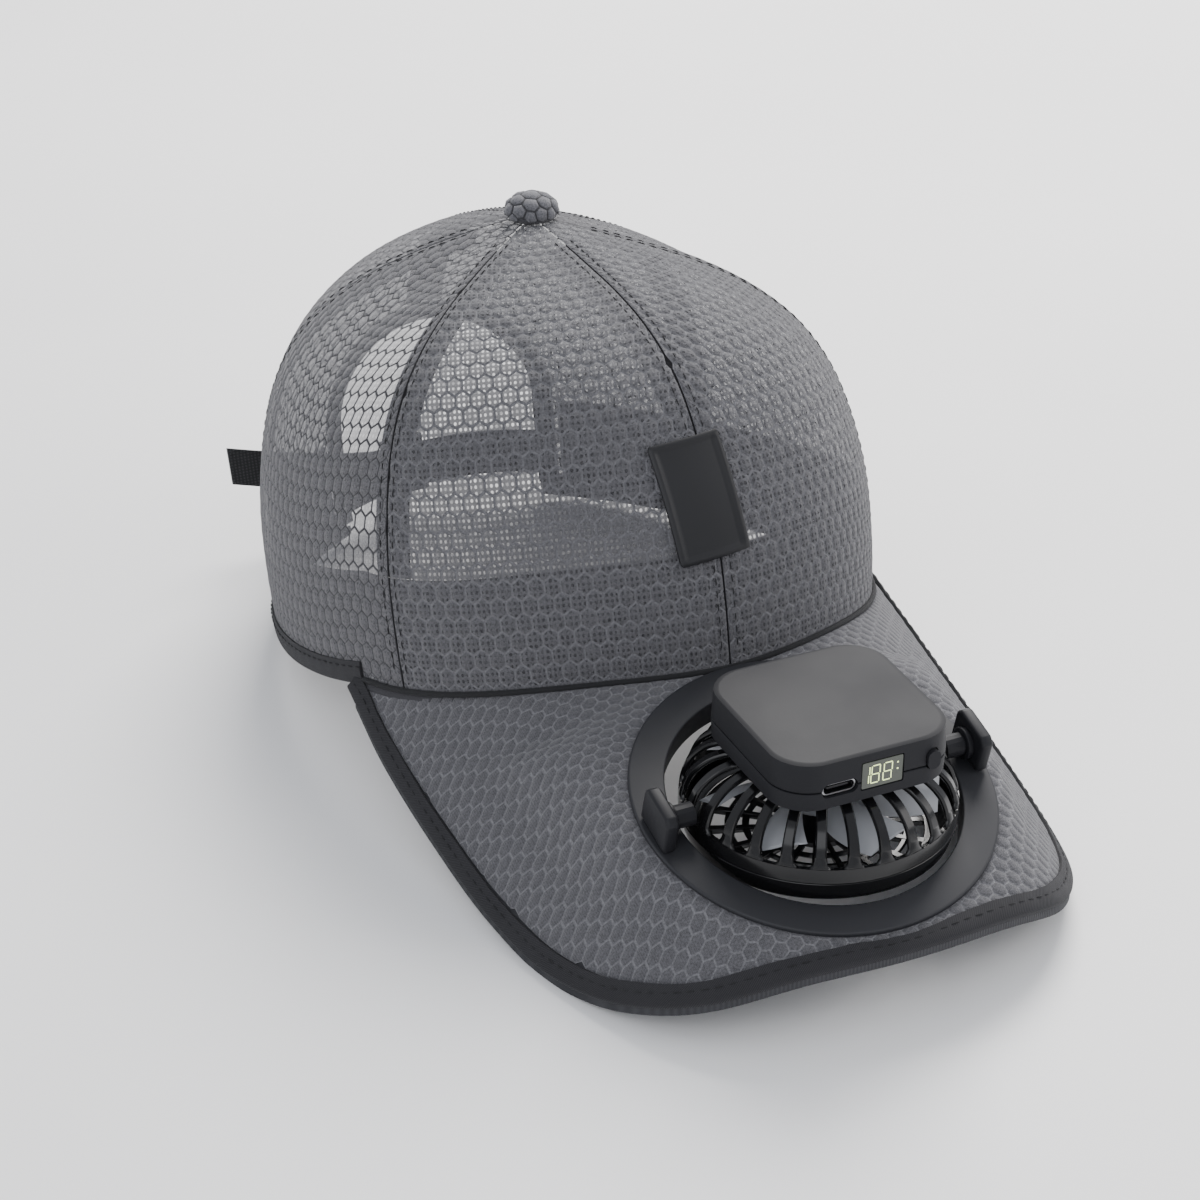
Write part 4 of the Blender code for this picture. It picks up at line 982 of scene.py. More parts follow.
def build_bands():
    end = 180.0 - ARCH_HALF_ANGLE - ARCH_TAPE_ANGLE - 1.0
    rows = []
    for angle in spread(-end, end, 121):
        low = lerp(0.0002, BAND_START, min(max((abs(angle) - PEAK_TAPE_END) / 2.0, 0.0), 1.0))
        high = BAND_START + BAND_HEIGHT
        rim = rim_height(angle)
        rows.append([(angle, level_at(angle, rim + height)) for height in spread(low, high, 6)])
    strip_on_crown("sweatband_cloth", rows, CLOTH + GAP, BAND_THICKNESS, BAND, "sweatband")
    seams = {
        0.0: "seam_tape_front",
        -60.0: "seam_tape_front_right",
        60.0: "seam_tape_front_left",
        -120.0: "seam_tape_back_right",
        120.0: "seam_tape_back_left",
        180.0: "seam_tape_back",
    }
    for seam, cad in seams.items():
        low = rim_height(seam) + BAND_START + BAND_HEIGHT + 2 * GAP
        if seam == 180.0:
            low = ARCH_TOP + ARCH_TAPE + 2 * GAP
        rows = []
        for place in spread(level_at(seam, low), SEAM_TAPE_TOP_LEVEL, 30):
            half = degrees_across(seam, place, SEAM_TAPE_WIDTH / 2)
            rows.append([(seam + half * t, place) for t in spread(-1, 1, 5)])
        name = cad.replace("seam_tape", "seam_band")
        strip_on_crown(name, rows, CLOTH + GAP, SEAM_TAPE_THICKNESS, BAND, cad)
    foot = rim_height(180 - ARCH_HALF_ANGLE) + BAND_START
    leg = spread(foot, ARCH_SPRING, 8)[:-1]
    turns = [(0, height) for height in leg] + [(turn, None) for turn in spread(0, 180, 33)]
    turns += [(180, height) for height in leg[::-1]]
    rows = []
    for turn, height in turns:
        row = []
        for wide in spread(0, 1, 4):
            way = heading(math.radians(turn))
            angle = 180.0 - (ARCH_HALF_ANGLE + ARCH_TAPE_ANGLE * wide) * way.x
            arched = lerp(ARCH_SPRING, ARCH_TOP + ARCH_TAPE * wide, way.y)
            row.append((angle, level_at(angle, arched if height is None else height)))
        rows.append(row)
    depth = CLOTH + ARCH_ROOM + GAP
    strip_on_crown("arch_tape", rows, depth, ARCH_TAPE_THICKNESS, TAPE, "arch_binding")


def rim_way(angle):
    return Vector((*rim_plan(angle), 0)).normalized()


def build_foot_cord():
    """A dark cord laid along the line where the crown meets the peak, and the seam allowance behind it."""
    run_on = 3.2
    path, rows = [], []
    for angle in spread(-PEAK_END - run_on, PEAK_END + run_on, 150):
        away = max(abs(angle) - PEAK_END, 0.0) / run_on
        path.append(crown_point(angle, 0.0) + rim_way(angle) * 0.0007 + UP * (0.0004 + 0.0005 * away))
    put("foot_cord", swept_rod("foot_cord", path, 0.00078, 8), "cap", THREAD, angle=80)
    for angle in spread(-PEAK_END, PEAK_END, 140):
        foot = crown_point(angle, 0.0) + UP * 0.0002
        row = [foot + rim_way(angle) * reach for reach in (0.0019, 0.0004, -0.0016, -0.0036)]
        row[0] -= UP * 0.0015
        rows.append(row)
    mesh = slab("foot_allowance", rows, [[UP] * 4] * len(rows), 0.0005)
    put("foot_allowance", mesh, "cap", BAND, angle=80)


def build_rim_tapes():
    skin = TAPE_THICKNESS
    inner = -(CLOTH + GAP)
    half = (GAP + skin - inner + skin) / 2
    centre = (GAP + skin + inner - skin) / 2
    for side, sign in (("right", -1), ("left", 1)):
        sections, stitch = [], []
        for i, away in enumerate(spread(RIM_TAPE_START - 1.8, 180.0 - ARCH_HALF_ANGLE - 0.5, 90)):
            angle = sign * away
            edge = crown_point(angle, 0.0)
            up = (crown_point(angle, 0.3) - edge).normalized()
            out = crown_normal(angle, 0.0)
            pucker = 0.0001 * math.sin(i * 1.7)
            shape = [(GAP + skin * 0.7, RIM_TAPE_OUTER), (GAP + skin + 0.0002 + pucker, RIM_TAPE_OUTER * 0.6)]
            for step in range(7):
                fold = heading(math.radians(-30 * step))
                shape.append((centre + half * fold.x, 0.0003 + (GAP + skin + 0.0003) * fold.y))
            shape += [(inner - skin, RIM_TAPE_INNER), (inner, RIM_TAPE_INNER), (inner, 0.0)]
            shape += [(GAP * 0.5, 0.0), (GAP + 0.0002, RIM_TAPE_OUTER * 0.6), (GAP * 0.5, RIM_TAPE_OUTER)]
            sections.append([edge + out * across + up * along for across, along in shape])
            stitch.append((edge + out * (GAP + skin + 0.0001) + up * (RIM_TAPE_OUTER - 0.0014), out))
        mesh = tube(f"rim_tape_{side}", sections, measured(sections[30]))
        put(mesh.name, mesh, "cap", TAPE, [f"rim_binding_{side}"], angle=70)
        stitch_line(f"rim_stitches_{side}", stitch, 0.0024, 0.0011, 0.00022)


# Button and patch


def build_button():
    base = CROWN_HEIGHT + GAP
    reach = BUTTON_RADIUS * 1.52

    def dome(away):
        a = min(away / reach, 1.0) * math.pi / 2
        radius = BUTTON_RADIUS * math.sin(a) ** 0.9 if a > 0 else 0.0
        return radius, base + BUTTON_HEIGHT * (0.12 + 0.88 * math.cos(a) ** 0.8)

    def locate(x, y):
        away = math.hypot(x, y)
        radius, height = dome(away)
        near, low = dome(max(away - 0.0002, 0.0))
        far, high = dome(away + 0.0002)
        slope = Vector((high - low, 0, near - far)).normalized() * -1
        if away < 1e-6:
            return Vector((0, APEX_BACK, height)), Vector((0, 0, 1))
        cos, sin = x / away, y / away
        normal = Vector((abs(slope.x) * cos, abs(slope.x) * sin, abs(slope.z)))
        return Vector((radius * cos, APEX_BACK + radius * sin, height)), normal.normalized()

    def settle(x, y):
        away = math.hypot(x, y)
        if away > reach:
            return x * reach / away, y * reach / away
        return x, y

    def keep(x, y):
        return math.hypot(x, y) < reach + CELL_WIDTH * 0.3

    mesh = hexagons("button_net", (-5, 6), (-4, 5), locate, keep, settle, 0.0007)
    fix_faces(mesh)
    profile = [(0.0, base), (BUTTON_RADIUS * 0.9, base)]
    for turn in spread(4, 90, 10):
        way = heading(math.radians(turn))
        profile.append((BUTTON_RADIUS * 0.99 * way.x, base + BUTTON_HEIGHT * (0.1 + 0.86 * way.y)))
    core = turned("button_core", profile, 40)
    core.transform(Matrix.Translation((0, APEX_BACK, 0)))
    put("button_net", mesh, "cap", NET_BUTTON, ["top_button"], angle=70)
    put("button_core", core, "cap", PLAIN_CLOTH)


def patch_spot(u, v, low, high):
    """The crown's level and angle at a point across and up the leaning patch."""
    lean = math.radians(PATCH_LEAN)
    across = u * math.cos(lean) - v * math.sin(lean)
    up = u * math.sin(lean) + v * math.cos(lean)
    place = lerp(low, high, up / PATCH_HEIGHT + 0.5)
    return place, PATCH_ANGLE + degrees_across(PATCH_ANGLE, place, across)


def build_patch():
    """A moulded patch with rounded corners, a raised rim and a sunk field."""
    low = high = level_at(PATCH_ANGLE, PATCH_CENTRE)
    centre = crown_point(PATCH_ANGLE, low)
    while (crown_point(PATCH_ANGLE, low) - centre).length < PATCH_HEIGHT / 2:
        low -= 0.005
    while (crown_point(PATCH_ANGLE, high) - centre).length < PATCH_HEIGHT / 2:
        high += 0.005
    rim, corner, base = 0.0013, 0.0016, GAP + 0.0003
    columns, rows = 28, 48
    top, bottom, flat = [], [], []
    for v in spread(-PATCH_HEIGHT / 2, PATCH_HEIGHT / 2, rows + 1):
        for u in spread(-PATCH_WIDTH / 2, PATCH_WIDTH / 2, columns + 1):
            du = max(abs(u) - (PATCH_WIDTH / 2 - corner), 0)
            dv = max(abs(v) - (PATCH_HEIGHT / 2 - corner), 0)
            if du > 0 and dv > 0 and math.hypot(du, dv) > corner:
                u = math.copysign(PATCH_WIDTH / 2 - corner + du * corner / math.hypot(du, dv), u)
            inset = min(PATCH_WIDTH / 2 - abs(u), PATCH_HEIGHT / 2 - abs(v))
            edge = max(min(inset / 0.0004, 1.0), 0.0)
            wall = min(max((inset - rim) / 0.0003, 0.0), 1.0)
            second = max(0.0, 1.0 - abs(inset - 0.0024) / 0.00028)
            rise = PATCH_THICKNESS * (0.78 + 0.22 * edge**0.5) - 0.0006 * wall + 0.0002 * second
            place, angle = patch_spot(u, v, low, high)
            normal, point = crown_normal(angle, place), crown_point(angle, place)
            top.append(point + normal * (base + rise))
            bottom.append(point + normal * base)
            flat.append((u * 1000, v * 1000))
    count, total = columns + 1, len(top)
    faces = []
    for j in range(rows):
        for i in range(columns):
            a = j * count + i
            faces.append((a, a + 1, a + count + 1, a + count))
            faces.append((total + a, total + a + count, total + a + count + 1, total + a + 1))
    loop = list(range(columns)) + list(range(columns, total, count))
    loop += list(range(total - 2, rows * count, -1)) + list(range(rows * count, 0, -count))
    for a, b in zip(loop, loop[1:] + loop[:1]):
        faces.append((a, total + a, total + b, b))
    mesh = fix_faces(mesh_of("patch_moulding", top + bottom, faces, flat + flat))
    put("patch_moulding", mesh, "cap", RUBBER, ["front_patch"], angle=50)


# Fan


def head_part(name, mesh, body, mat, cad=(), angle=35):
    """Puts a piece that is drawn in the fan head's own frame."""
    mesh.transform(HEAD_MATRIX)
    return put(name, mesh, body, mat, cad, angle=angle)


def ring_part(name, mesh, mat, cad=()):
    """Puts a piece that is drawn in the ring's own frame."""
    mesh.transform(RING_MATRIX)
    return put(name, mesh, "cap", mat, cad)


RING_MATRIX = Matrix.Translation((0, RING_Y, ring_plane_height(RING_Y))) @ Matrix.Rotation(
    math.radians(PEAK_PITCH), 4, "X"
)
HEAD_MATRIX = (
    RING_MATRIX
    @ Matrix.Translation((0, PIVOT_BACK, FLANGE_THICKNESS + 2 * GAP + PIVOT_HEIGHT))
    @ Matrix.Rotation(math.radians(HEAD_PITCH - PEAK_PITCH), 4, "X")
)


def build_ring():
    top = GAP + FLANGE_THICKNESS
    outer = RING_INNER + SLEEVE_WALL
    corners = [(RING_INNER, top), (RING_RADIUS, top - 0.0002), (RING_RADIUS, GAP), (outer, GAP)]
    corners += [(outer, -SLEEVE_DEPTH), (RING_INNER, -SLEEVE_DEPTH)]
    mesh = turned("ring_moulding", rounded_profile(corners, 0.0006), 128)
    ring_part("ring_moulding", mesh, SATIN, ["fan_ring"])


def swept_rod(name, path, radius, sides):
    """A round bar along a level path of points, closed at both ends."""
    sections = []
    for i, point in enumerate(path):
        ahead = (path[min(i + 1, len(path) - 1)] - path[max(i - 1, 0)]).normalized()
        side = ahead.cross(UP).normalized()
        up = side.cross(ahead)
        turns = [heading(2 * math.pi * k / sides) for k in range(sides)]
        sections.append([point + (side * turn.x + up * turn.y) * radius for turn in turns])
    return tube(name, sections)


def join(name, meshes):
    work = bmesh.new()
    for mesh in meshes:
        work.from_mesh(mesh)
    joined = bpy.data.meshes.new(name)
    work.to_mesh(joined)
    work.free()
    return joined


CAGE_OUT = (0.0, 0.16, 0.55, 0.83, 0.96, 0.99, 1.0)
CAGE_DOWN = (0.0, 0.03, 0.15, 0.38, 0.65, 0.78, 1.0)
CAGE_SLOT = (0.50, 0.55, 0.60, 0.64, 0.62, 0.60, 0.58)
CAGE_WALL = 0.0014
SLOT_ROUND = 3.6
MOTOR_HEIGHT = 0.0065
BLADES = 7
BLADE_HALF_CHORD = 0.0098


def cage_skin(place):
    """A point (radius, height) of the cage's outer face, and the way into its wall."""

    def at(t):
        out, down = (min(max(cubic(values, t), 0.0), 1.0) for values in (CAGE_OUT, CAGE_DOWN))
        return Vector((lerp(CAGE_TOP_RADIUS, CAGE_RADIUS, out), lerp(CAGE_TOP, CAGE_BOTTOM, down)))

    along = (at(min(place + 0.05, 6.0)) - at(max(place - 0.05, 0.0))).normalized()
    return at(place), Vector((along.y, -along.x))


def build_cage():
    pitch = 2 * math.pi / CAGE_RIBS
    meshes = []
    shape = ((-1, 0.35), (-0.72, 0), (0.72, 0), (1, 0.35), (1, 0.75), (0.72, 1), (-0.72, 1), (-1, 0.75))
    ribs = []
    for step in range(49):
        place = 3.0 - 2.0 * math.cos(math.pi * step / 48)
        skin, inward = cage_skin(place)
        bulge = (1 - min(abs(place - 3) / 2, 1.0) ** SLOT_ROUND) ** (1 / SLOT_ROUND)
        half = pitch * (1 - cubic(CAGE_SLOT, place) * bulge) / 2
        ribs.append((skin, inward, half))
    for i in range(CAGE_RIBS):
        sections = []
        for skin, inward, half in ribs:
            row = []
            for u, depth in shape:
                radius, z = skin + inward * CAGE_WALL * depth
                row.append(heading(pitch * (i + 0.5) + half * u) * radius + UP * z)
            sections.append(row)
        meshes.append(tube("rib", sections))
    for name, low, high in (("lid", 0.0, 1.0), ("skirt", 5.0, 6.0)):
        outer, inner = [], []
        for place in spread(low, high, 9):
            skin, inward = cage_skin(place)
            outer.append(tuple(skin))
            inner.append(tuple(skin + inward * CAGE_WALL))
        if name == "lid":
            outer = [(0.0, CAGE_TOP)] + outer
            inner = [(0.0, CAGE_TOP - CAGE_WALL)] + inner
        meshes.append(turned(name, outer + inner[::-1], 2 * CAGE_RIBS))
    mesh = join("cage_bars", meshes)
    head_part("cage_bars", mesh, "fan_head", GLOSS, ["fan_cage"], 50)


def build_guard():
    """The bowl under the cage: a turned wall, and a floor of bars between a hub and hoops."""
    top = CAGE_BOTTOM - GAP
    low = top - GUARD_DEPTH
    outer = CAGE_RADIUS - GUARD_THICKNESS
    floor = outer - GUARD_TAPER
    inner = floor - GUARD_RIM
    middle = low - GUARD_THICKNESS / 2
    knee = (lerp(floor, outer, GUARD_KNEE_OUT), lerp(low, top, GUARD_KNEE_UP))
    wall = [(inner, low), (floor, low), knee, (outer, top)]
    wall += [(CAGE_RADIUS, top), (knee[0] + GUARD_THICKNESS * 0.86, knee[1] - GUARD_THICKNESS * 0.5)]
    wall += [(floor + 0.0004, low - GUARD_THICKNESS), (inner, low - GUARD_THICKNESS)]
    meshes = [turned("wall", rounded_profile(wall, 0.0004, 3), 96)]
    half_way = (GUARD_HUB_RADIUS + inner) / 2
    reach = ((GUARD_HUB_RADIUS - 0.0005, 0.42), (half_way, 0.26), (inner + 0.0006, 0.24))
    shape = ((-1, 0.3), (-0.8, 0.5), (0.8, 0.5), (1, 0.3), (1, -0.5), (-1, -0.5))
    for i in range(GUARD_RIBS):
        way = heading(2 * math.pi * i / GUARD_RIBS)
        side = UP.cross(way)
        sections = []
        for radius, share in reach:
            half = math.pi * radius * share / GUARD_RIBS
            base = way * radius + UP * middle
            sections.append([base + side * (half * u) + UP * (GUARD_THICKNESS * v) for u, v in shape])
        meshes.append(tube("bar", sections))
    for radius in spread(GUARD_HUB_RADIUS, inner, 5)[1:-1]:
        turns = spread(0, 2 * math.pi, 7)[:-1]
        ring = [(radius + 0.0009 * math.cos(a), middle + 0.0006 * math.sin(a)) for a in turns]
        meshes.append(turned("hoop", ring, 72))
    under = low - GUARD_THICKNESS
    hub = [(0.0, low), (GUARD_HUB_RADIUS, low), (GUARD_HUB_RADIUS, under), (0.0, under)]
    meshes.append(turned("boss", hub, 48))
    head_part("guard_bars", join("guard_bars", meshes), "fan_head", GLOSS, ["lower_guard"])


def rounded_box(name, size, corner, edge, centre, corner_steps=14, edge_steps=5):
    """A box with upright rounded corners and softly rounded top and bottom edges."""
    layers = []
    for step in range(edge_steps + 1):
        way = heading(math.radians(90 * step / edge_steps))
        layers.append((edge * (1 - way.y), -size[2] / 2 + edge * (1 - way.x)))
    layers += [(inset, -z) for inset, z in layers[::-1]]
    points = []
    for inset, z in layers:
        for quarter, (sx, sy) in enumerate(((1, 1), (-1, 1), (-1, -1), (1, -1))):
            middle = Vector((sx * (size[0] / 2 - corner), sy * (size[1] / 2 - corner), z)) + Vector(centre)
            for turn in spread(quarter * 90, quarter * 90 + 90, corner_steps + 1):
                points.append(middle + heading(math.radians(turn)) * (corner - inset))
    faces = rings(len(layers), 4 * (corner_steps + 1))
    return fix_faces(mesh_of(name, points, faces), 1e-7)


def pocket(obj, mesh):
    """Cuts a recess and keeps the result as the object's own mesh."""
    cutter = bpy.data.objects.new("cutter", mesh)
    bpy.context.scene.collection.objects.link(cutter)
    mod = obj.modifiers.new("cut", "BOOLEAN")
    mod.operation = "DIFFERENCE"
    mod.object = cutter
    graph = bpy.context.evaluated_depsgraph_get()
    obj.data = bpy.data.meshes.new_from_object(obj.evaluated_get(graph))
    obj.modifiers.clear()
    obj.data.shade_smooth()
    obj.data.set_sharp_from_angle(angle=math.radians(35))
    bpy.data.objects.remove(cutter, do_unlink=True)


def upright_slot(size, centre, radius):
    """A box (across X, up Z, along Y) with the four edges that lie along Y rounded."""
    mesh = rounded_box("slot", size, radius, 0.0, (0, 0, 0), 6, 1)
    mesh.transform(Matrix.Translation(centre) @ Matrix.Rotation(math.radians(90), 4, "X"))
    return mesh


def build_box():
    """The battery box: two halves with recesses in their front wall, and the fittings in them."""
    bottom = CAGE_TOP + GAP
    parting = bottom + BOX_PARTING
    top = bottom + BOX_HEIGHT
    front = -BOX_SIZE / 2 - BOX_FORWARD
    window = (WINDOW_WIDTH, WINDOW_HEIGHT)
    press = (PRESS_WIDTH, PRESS_HEIGHT)
    usb = (USB_WIDTH, USB_HEIGHT)

    def at(x, z, deep=0.0):
        return (x, front + deep, z)

    window_at = (WINDOW_OFFSET, bottom + WINDOW_CENTRE)
    usb_at = (USB_OFFSET, parting + GAP / 2)
    press_at = (BUTTON_OFFSET, bottom + PRESS_CENTRE)
    cuts = (
        (window, 0.0028, window_at, 0.0005),
        (press, 0.0070, press_at, 0.0019),
        (usb, 0.0130, usb_at, 0.0017),
    )
    halves = (
        ("box_lower", bottom, parting, "battery_base", BOX_FOOT_EDGE, bottom),
        ("box_upper", parting + GAP, top, "battery_top", BOX_EDGE, top),
    )
    for name, low, high, cad, edge, outer in halves:
        size = (BOX_SIZE, BOX_SIZE, high - low)
        mesh = rounded_box(name, size, BOX_CORNER, PARTING_EDGE, (0, -BOX_FORWARD, (low + high) / 2))
        for vert in mesh.vertices:
            far = abs(vert.co.z - outer)
            if far < EDGE_BAND:
                k = 1 - (edge - PARTING_EDGE) / (BOX_SIZE / 2) * (1 - far / EDGE_BAND)
                vert.co.x *= k
                vert.co.y = (vert.co.y + BOX_FORWARD) * k - BOX_FORWARD
        piece = put(name, mesh, "fan_head", BOX_SATIN, [cad])
        for (width, tall), deep, place, radius in cuts:
            pocket(piece, upright_slot((width + 2 * GAP, tall + 2 * GAP, deep), at(*place), radius))
        piece.data.transform(HEAD_MATRIX)

    shell = upright_slot((*usb, 0.0058), at(*usb_at, 0.0038), 0.0015)
    socket = put("socket_shell", shell, "fan_head", METAL, ["usb_socket"])
    wall = 0.0004
    pocket(socket, upright_slot((usb[0] - 2 * wall, usb[1] - 2 * wall, 0.0060), at(*usb_at, 0.0030), 0.0011))
    socket.data.transform(HEAD_MATRIX)
    tongue = rounded_box("tongue", (0.0062, 0.0045, 0.0007), 0.0004, 0.0001, at(*usb_at, 0.0038), 4, 2)
    head_part("socket_tongue", tongue, "fan_head", RUBBER)

    glass = upright_slot((*window, 0.0010), at(*window_at, 0.00075), 0.0004)
    head_part("window_pane", glass, "fan_head", GLASS, ["display_window"])
    build_digits(at(*window_at, 0.00023))
    key = upright_slot((*press, 0.0028), at(*press_at, 0.0014 - PRESS_PROUD), 0.00165)
    head_part("press_key", key, "power_button", BOX_SATIN, ["power_button"])


def build_digits(centre):
    """A lit figure 188, each stroke a small bar that leans a little, as on such displays."""
    s = Shader("lit_segments", (0.55, 0.62, 0.30), 0.4)
    s.main.inputs["Emission Color"].default_value = (0.72, 0.85, 0.38, 1)
    s.main.inputs["Emission Strength"].default_value = 1.6
    tall, wide, bar, trim = 0.0048, 0.0022, 0.00042, 0.0003
    level = [(0, v * tall / 2, wide, bar) for v in (1, 0, -1)]
    upright = [(u * wide / 2, v * tall / 4, bar, tall / 2) for u in (-1, 1) for v in (1, -1)]
    meshes = []

    def add(name, u, v, w, h, shift, lean):
        size = (max(w - trim, 0.00026), 0.00008, max(h - trim, 0.00026))
        place = Vector(centre) + Vector((shift + u + lean * v, 0, v))
        meshes.append(rounded_box(name, size, 0.00003, 0.0, place, 2, 1))

    for shift, strokes in ((-0.0047, upright[2:]), (-0.0019, level + upright), (0.0014, level + upright)):
        for stroke in strokes:
            add("stroke", *stroke, shift, 0.10)
    for v in (0.0018, 0.0):
        add("dot", 0, v, 0.0007, 0.0007, 0.0041, 0.0)
    head_part("display_digits", join("display_digits", meshes), "fan_head", s.mat)


def build_ears():
    base = FLANGE_THICKNESS + 2 * GAP
    long, middle, corner = EAR_LENGTH / 2, EAR_HEIGHT / 2, 0.0016
    half = [(long, 0.0), (long, EAR_HEIGHT - corner), (long - corner, EAR_HEIGHT)]
    outline = rounded_profile([(-u, v) for u, v in half] + half[::-1], 0.0005, 3)
    inner = EAR_OFFSET - EAR_THICKNESS / 2
    edge = ((0.0, 0.0006), (0.0003, 0.0002), (0.0007, 0.0))
    layers = edge + tuple((EAR_THICKNESS - out, inset) for out, inset in edge[::-1])
    for side, sign in (("right", -1), ("left", 1)):
        sections = []
        for out, inset in layers:
            ku, kv = 1 - inset / long, 1 - inset / middle
            x = sign * (inner + out)
            row = [Vector((x, PIVOT_BACK + u * ku, base + middle + (v - middle) * kv)) for u, v in outline]
            sections.append(row)
        ring_part(f"ear_plate_{side}", tube("ear", sections), EAR_SATIN, [f"ear_{side}"])
        collar = [(0.0030, 0.0), (0.0042, 0.0), (0.0042, 0.0014), (0.0030, 0.0018)]
        mesh = turned("collar", rounded_profile(collar, 0.0003), 32)
        place = Matrix.Translation((sign * inner, PIVOT_BACK, base + PIVOT_HEIGHT))
        mesh.transform(place @ Matrix.Rotation(-sign * math.pi / 2, 4, "Y"))
        ring_part(f"ear_collar_{side}", mesh, EAR_SATIN)


def build_wheel():
    """The bladed wheel: seven swept, twisted blades on a domed hub, under the motor."""
    top = CAGE_TOP - CAGE_WALL - GAP - MOTOR_HEIGHT - GAP
    hub_height, hub_radius, blade_radius = 0.0062, 0.0105, 0.0294
    profile = [(0.0015, top), (hub_radius, top), (hub_radius, top - hub_height), (0.0015, top - hub_height)]
    meshes = [turned("hub", rounded_profile(profile, 0.0008), 56)]
    shape = ((-1, 0), (-0.6, 0.9), (0, 1.2), (0.6, 0.8), (1, 0), (0.6, -0.5), (0, -0.4), (-0.6, -0.7))
    for i in range(BLADES):
        sections = []
        for share in spread(0, 1, 14):
            pitch = math.radians(lerp(38, 23, share))
            sweep = math.radians(20) * share + 2 * math.pi * i / BLADES
            half = BLADE_HALF_CHORD * lerp(0.42, 0.62, math.sin(share * math.pi * 0.6))
            out = heading(sweep)
            chord = UP.cross(out) * math.cos(pitch) + UP * math.sin(pitch)
            normal = out.cross(chord)
            middle = out * lerp(hub_radius - 0.0010, blade_radius, share) + UP * (top - hub_height / 2)
            row = []
            for u, v in shape:
                row.append(middle + chord * half * u + normal * (v * 0.0005 + 0.0006 * (1 - u * u)))
            sections.append(row)
        meshes.append(tube("blade", sections))
    head_part("bladed_wheel", join("wheel", meshes), "impeller", BLADE, ["impeller"], 50)


# Strap


def build_strap():
    end = 180.0 - ARCH_HALF_ANGLE - ARCH_TAPE_ANGLE + 0.4
    rows = []
    for angle in spread(end, 360.0 - end, 49):
        rows.append([(angle, level_at(angle, STRAP_LOW + STRAP_WIDTH * t)) for t in spread(0, 1, 5)])
    strip_on_crown("strap_webbing", rows, STRAP_DEPTH, STRAP_THICKNESS, WEBBING, "back_strap")


def refine(node, mat):
    """Gives a solid that is kept its finer material."""
    frame["nodes"][node].material_slots[0].material = mat


def box_webbing():
    """Webbing for the kept strap end, which has no cloth coordinates."""
    s = Shader("tail_webbing", (0.014, 0.014, 0.015), 0.85)
    sides = s.split(s.place())
    weave = s.weave(*(s.math("MULTIPLY", sides[i], 1000.0) for i in (0, 2)), 1.1, 0.9)
    s.feed("Base Color", s.mix(weave, (0.011, 0.011, 0.012), (0.040, 0.040, 0.043)))
    s.bump(weave, 0.5, 0.0003)
    return s.mat


# Scene


def area_light(name, place, target, size, power, colour):
    light = bpy.data.lights.new(name, "AREA")
    light.size = size
    light.energy = power
    light.color = colour
    obj = bpy.data.objects.new(name, light)
    bpy.context.scene.collection.objects.link(obj)
    obj.location = place
    obj.rotation_euler = (Vector(target) - Vector(place)).to_track_quat("-Z", "Y").to_euler()


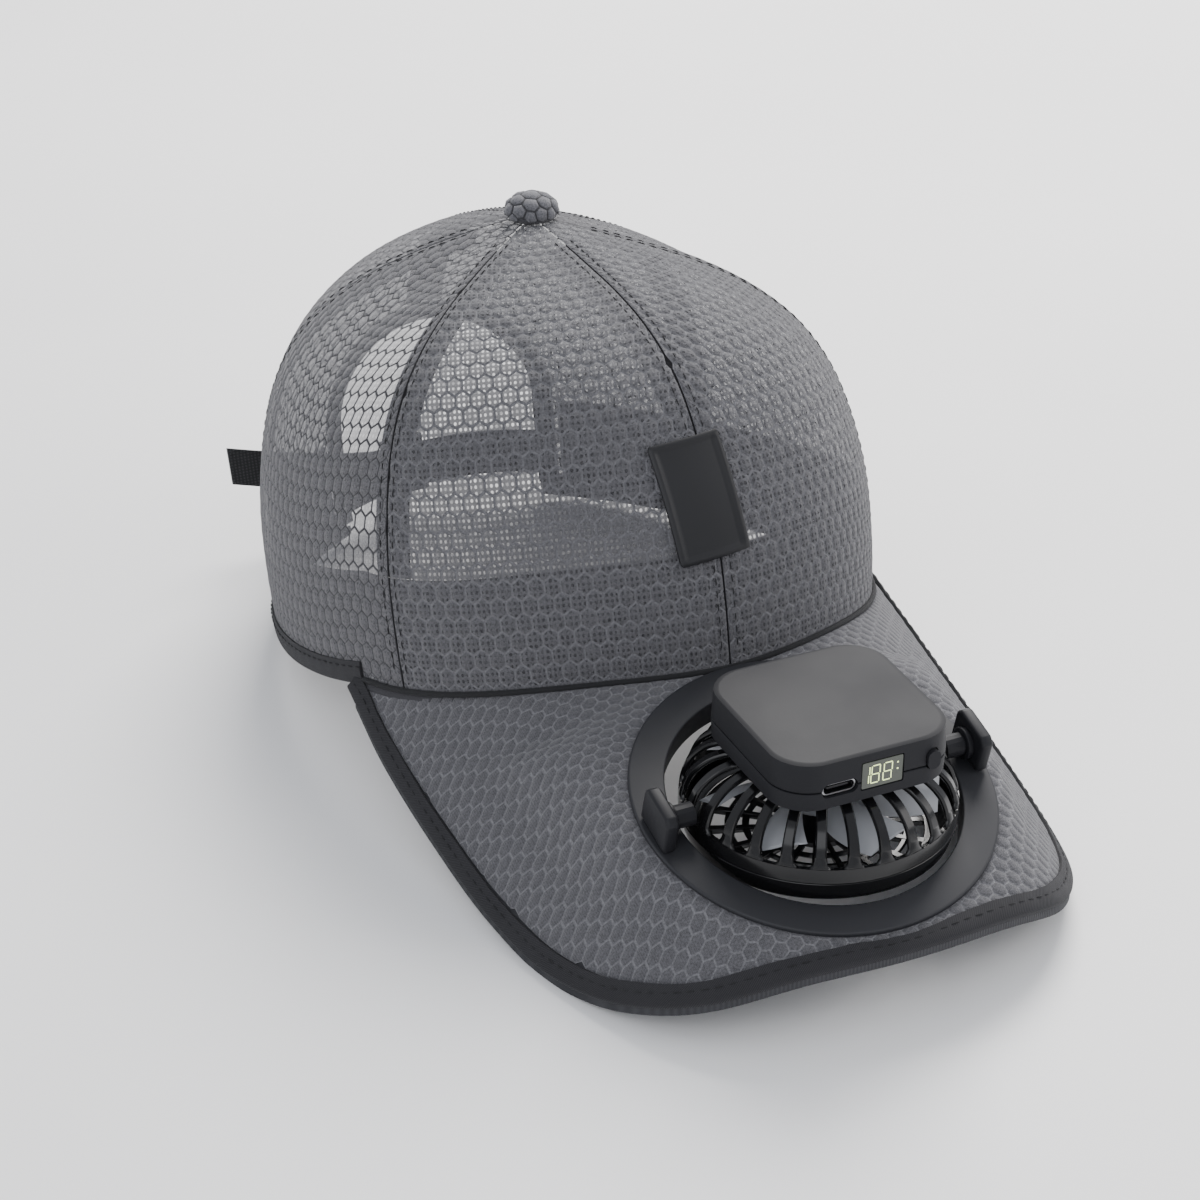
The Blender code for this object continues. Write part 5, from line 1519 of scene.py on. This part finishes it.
def build_stage():
    mesh = bpy.data.meshes.new("floor")
    mesh.from_pydata([(-4, -4, 0), (4, -4, 0), (4, 6, 0), (-4, 6, 0)], [], [(0, 1, 2, 3)])
    floor = bpy.data.objects.new("floor", mesh)
    bpy.context.scene.collection.objects.link(floor)
    s = Shader("pale_floor", (0.87, 0.865, 0.86), 0.55)
    vary = s.remap(s.noise(3.0, 4.0), 0.3, 0.7)
    s.feed("Base Color", s.mix(vary, (0.84, 0.835, 0.83), (0.90, 0.895, 0.89)))
    mesh.materials.append(s.mat)

    world = bpy.data.worlds.new("soft_studio")
    bpy.context.scene.world = world
    world.use_nodes = True
    back = world.node_tree.nodes["Background"]
    back.inputs["Color"].default_value = (0.90, 0.93, 1.0, 1)
    back.inputs["Strength"].default_value = 0.90
    area_light("window_light", (0.75, 0.95, 1.15), (0, 0, 0.05), 0.9, 46, (1.0, 0.98, 0.96))
    area_light("front_fill", (-0.9, -1.1, 0.9), (0, -0.03, 0.05), 1.2, 9, (0.95, 0.97, 1.0))
    area_light("side_fill", (1.1, -0.7, 0.7), (0, -0.05, 0.05), 0.8, 7, (1.0, 0.98, 0.96))


def build_camera():
    """The fitted camera: its turn round the cap, its height, its roll and its distance."""
    azimuth, elevation, roll = math.radians(-24.53), math.radians(28.51), math.radians(-0.56)
    distance, shift_x, shift_y, scale = 0.8298, 0.01124, 0.00889, 3.680
    sensor = 36.0
    right = heading(azimuth)
    back = right.cross(UP) * math.cos(elevation) + UP * math.sin(elevation)
    up = back.cross(right)
    right, up = right * math.cos(roll) + up * math.sin(roll), up * math.cos(roll) - right * math.sin(roll)
    target = Vector((0, -0.050, 0.050)) + OFFSET
    place = target - right * shift_x - up * shift_y + back * distance
    camera = bpy.data.cameras.new("camera")
    camera.sensor_width = sensor
    camera.lens = scale * distance * 1000 / 1200 * sensor
    camera.clip_start = 0.05
    camera.clip_end = 30.0
    obj = bpy.data.objects.new("camera", camera)
    bpy.context.scene.collection.objects.link(obj)
    obj.matrix_world = Matrix.Translation(place) @ Matrix((right, up, back)).transposed().to_4x4()
    bpy.context.scene.camera = obj


def build():
    before = set(bpy.data.objects)
    for first, word in ((0.0, "front"), (60.0, "side"), (120.0, "back")):
        # Front panels take the net with painted rib highlights; side and back panels take the net with
        # painted light in its cells.
        mat = NET_FRONT_PAINTED_HIGHLIGHT if word == "front" else NET_SIDE_PAINTED_BACKLIGHT
        for side, sign in (("right", -1), ("left", 1)):
            crown_panel(f"net_{word}_{side}", first, sign, f"crown_{word}_{side}", mat)
    build_bands()
    build_foot_cord()
    build_rim_tapes()
    build_seam_stitches()
    build_button()
    build_patch()
    build_peak()
    build_peak_tape()
    build_strap()
    build_ring()
    build_ears()
    build_cage()
    build_guard()
    build_wheel()
    build_box()
    for obj in set(bpy.data.objects) - before:
        if obj.type == "MESH":
            obj.data.transform(Matrix.Translation(OFFSET))
    kept = {"strap_slider": SATIN, "pivot_right": EAR_SATIN, "pivot_left": EAR_SATIN, "motor": SATIN}
    for node, mat in {"strap_tail": box_webbing(), **kept}.items():
        refine(node, mat)


build()
build_stage()
build_camera()
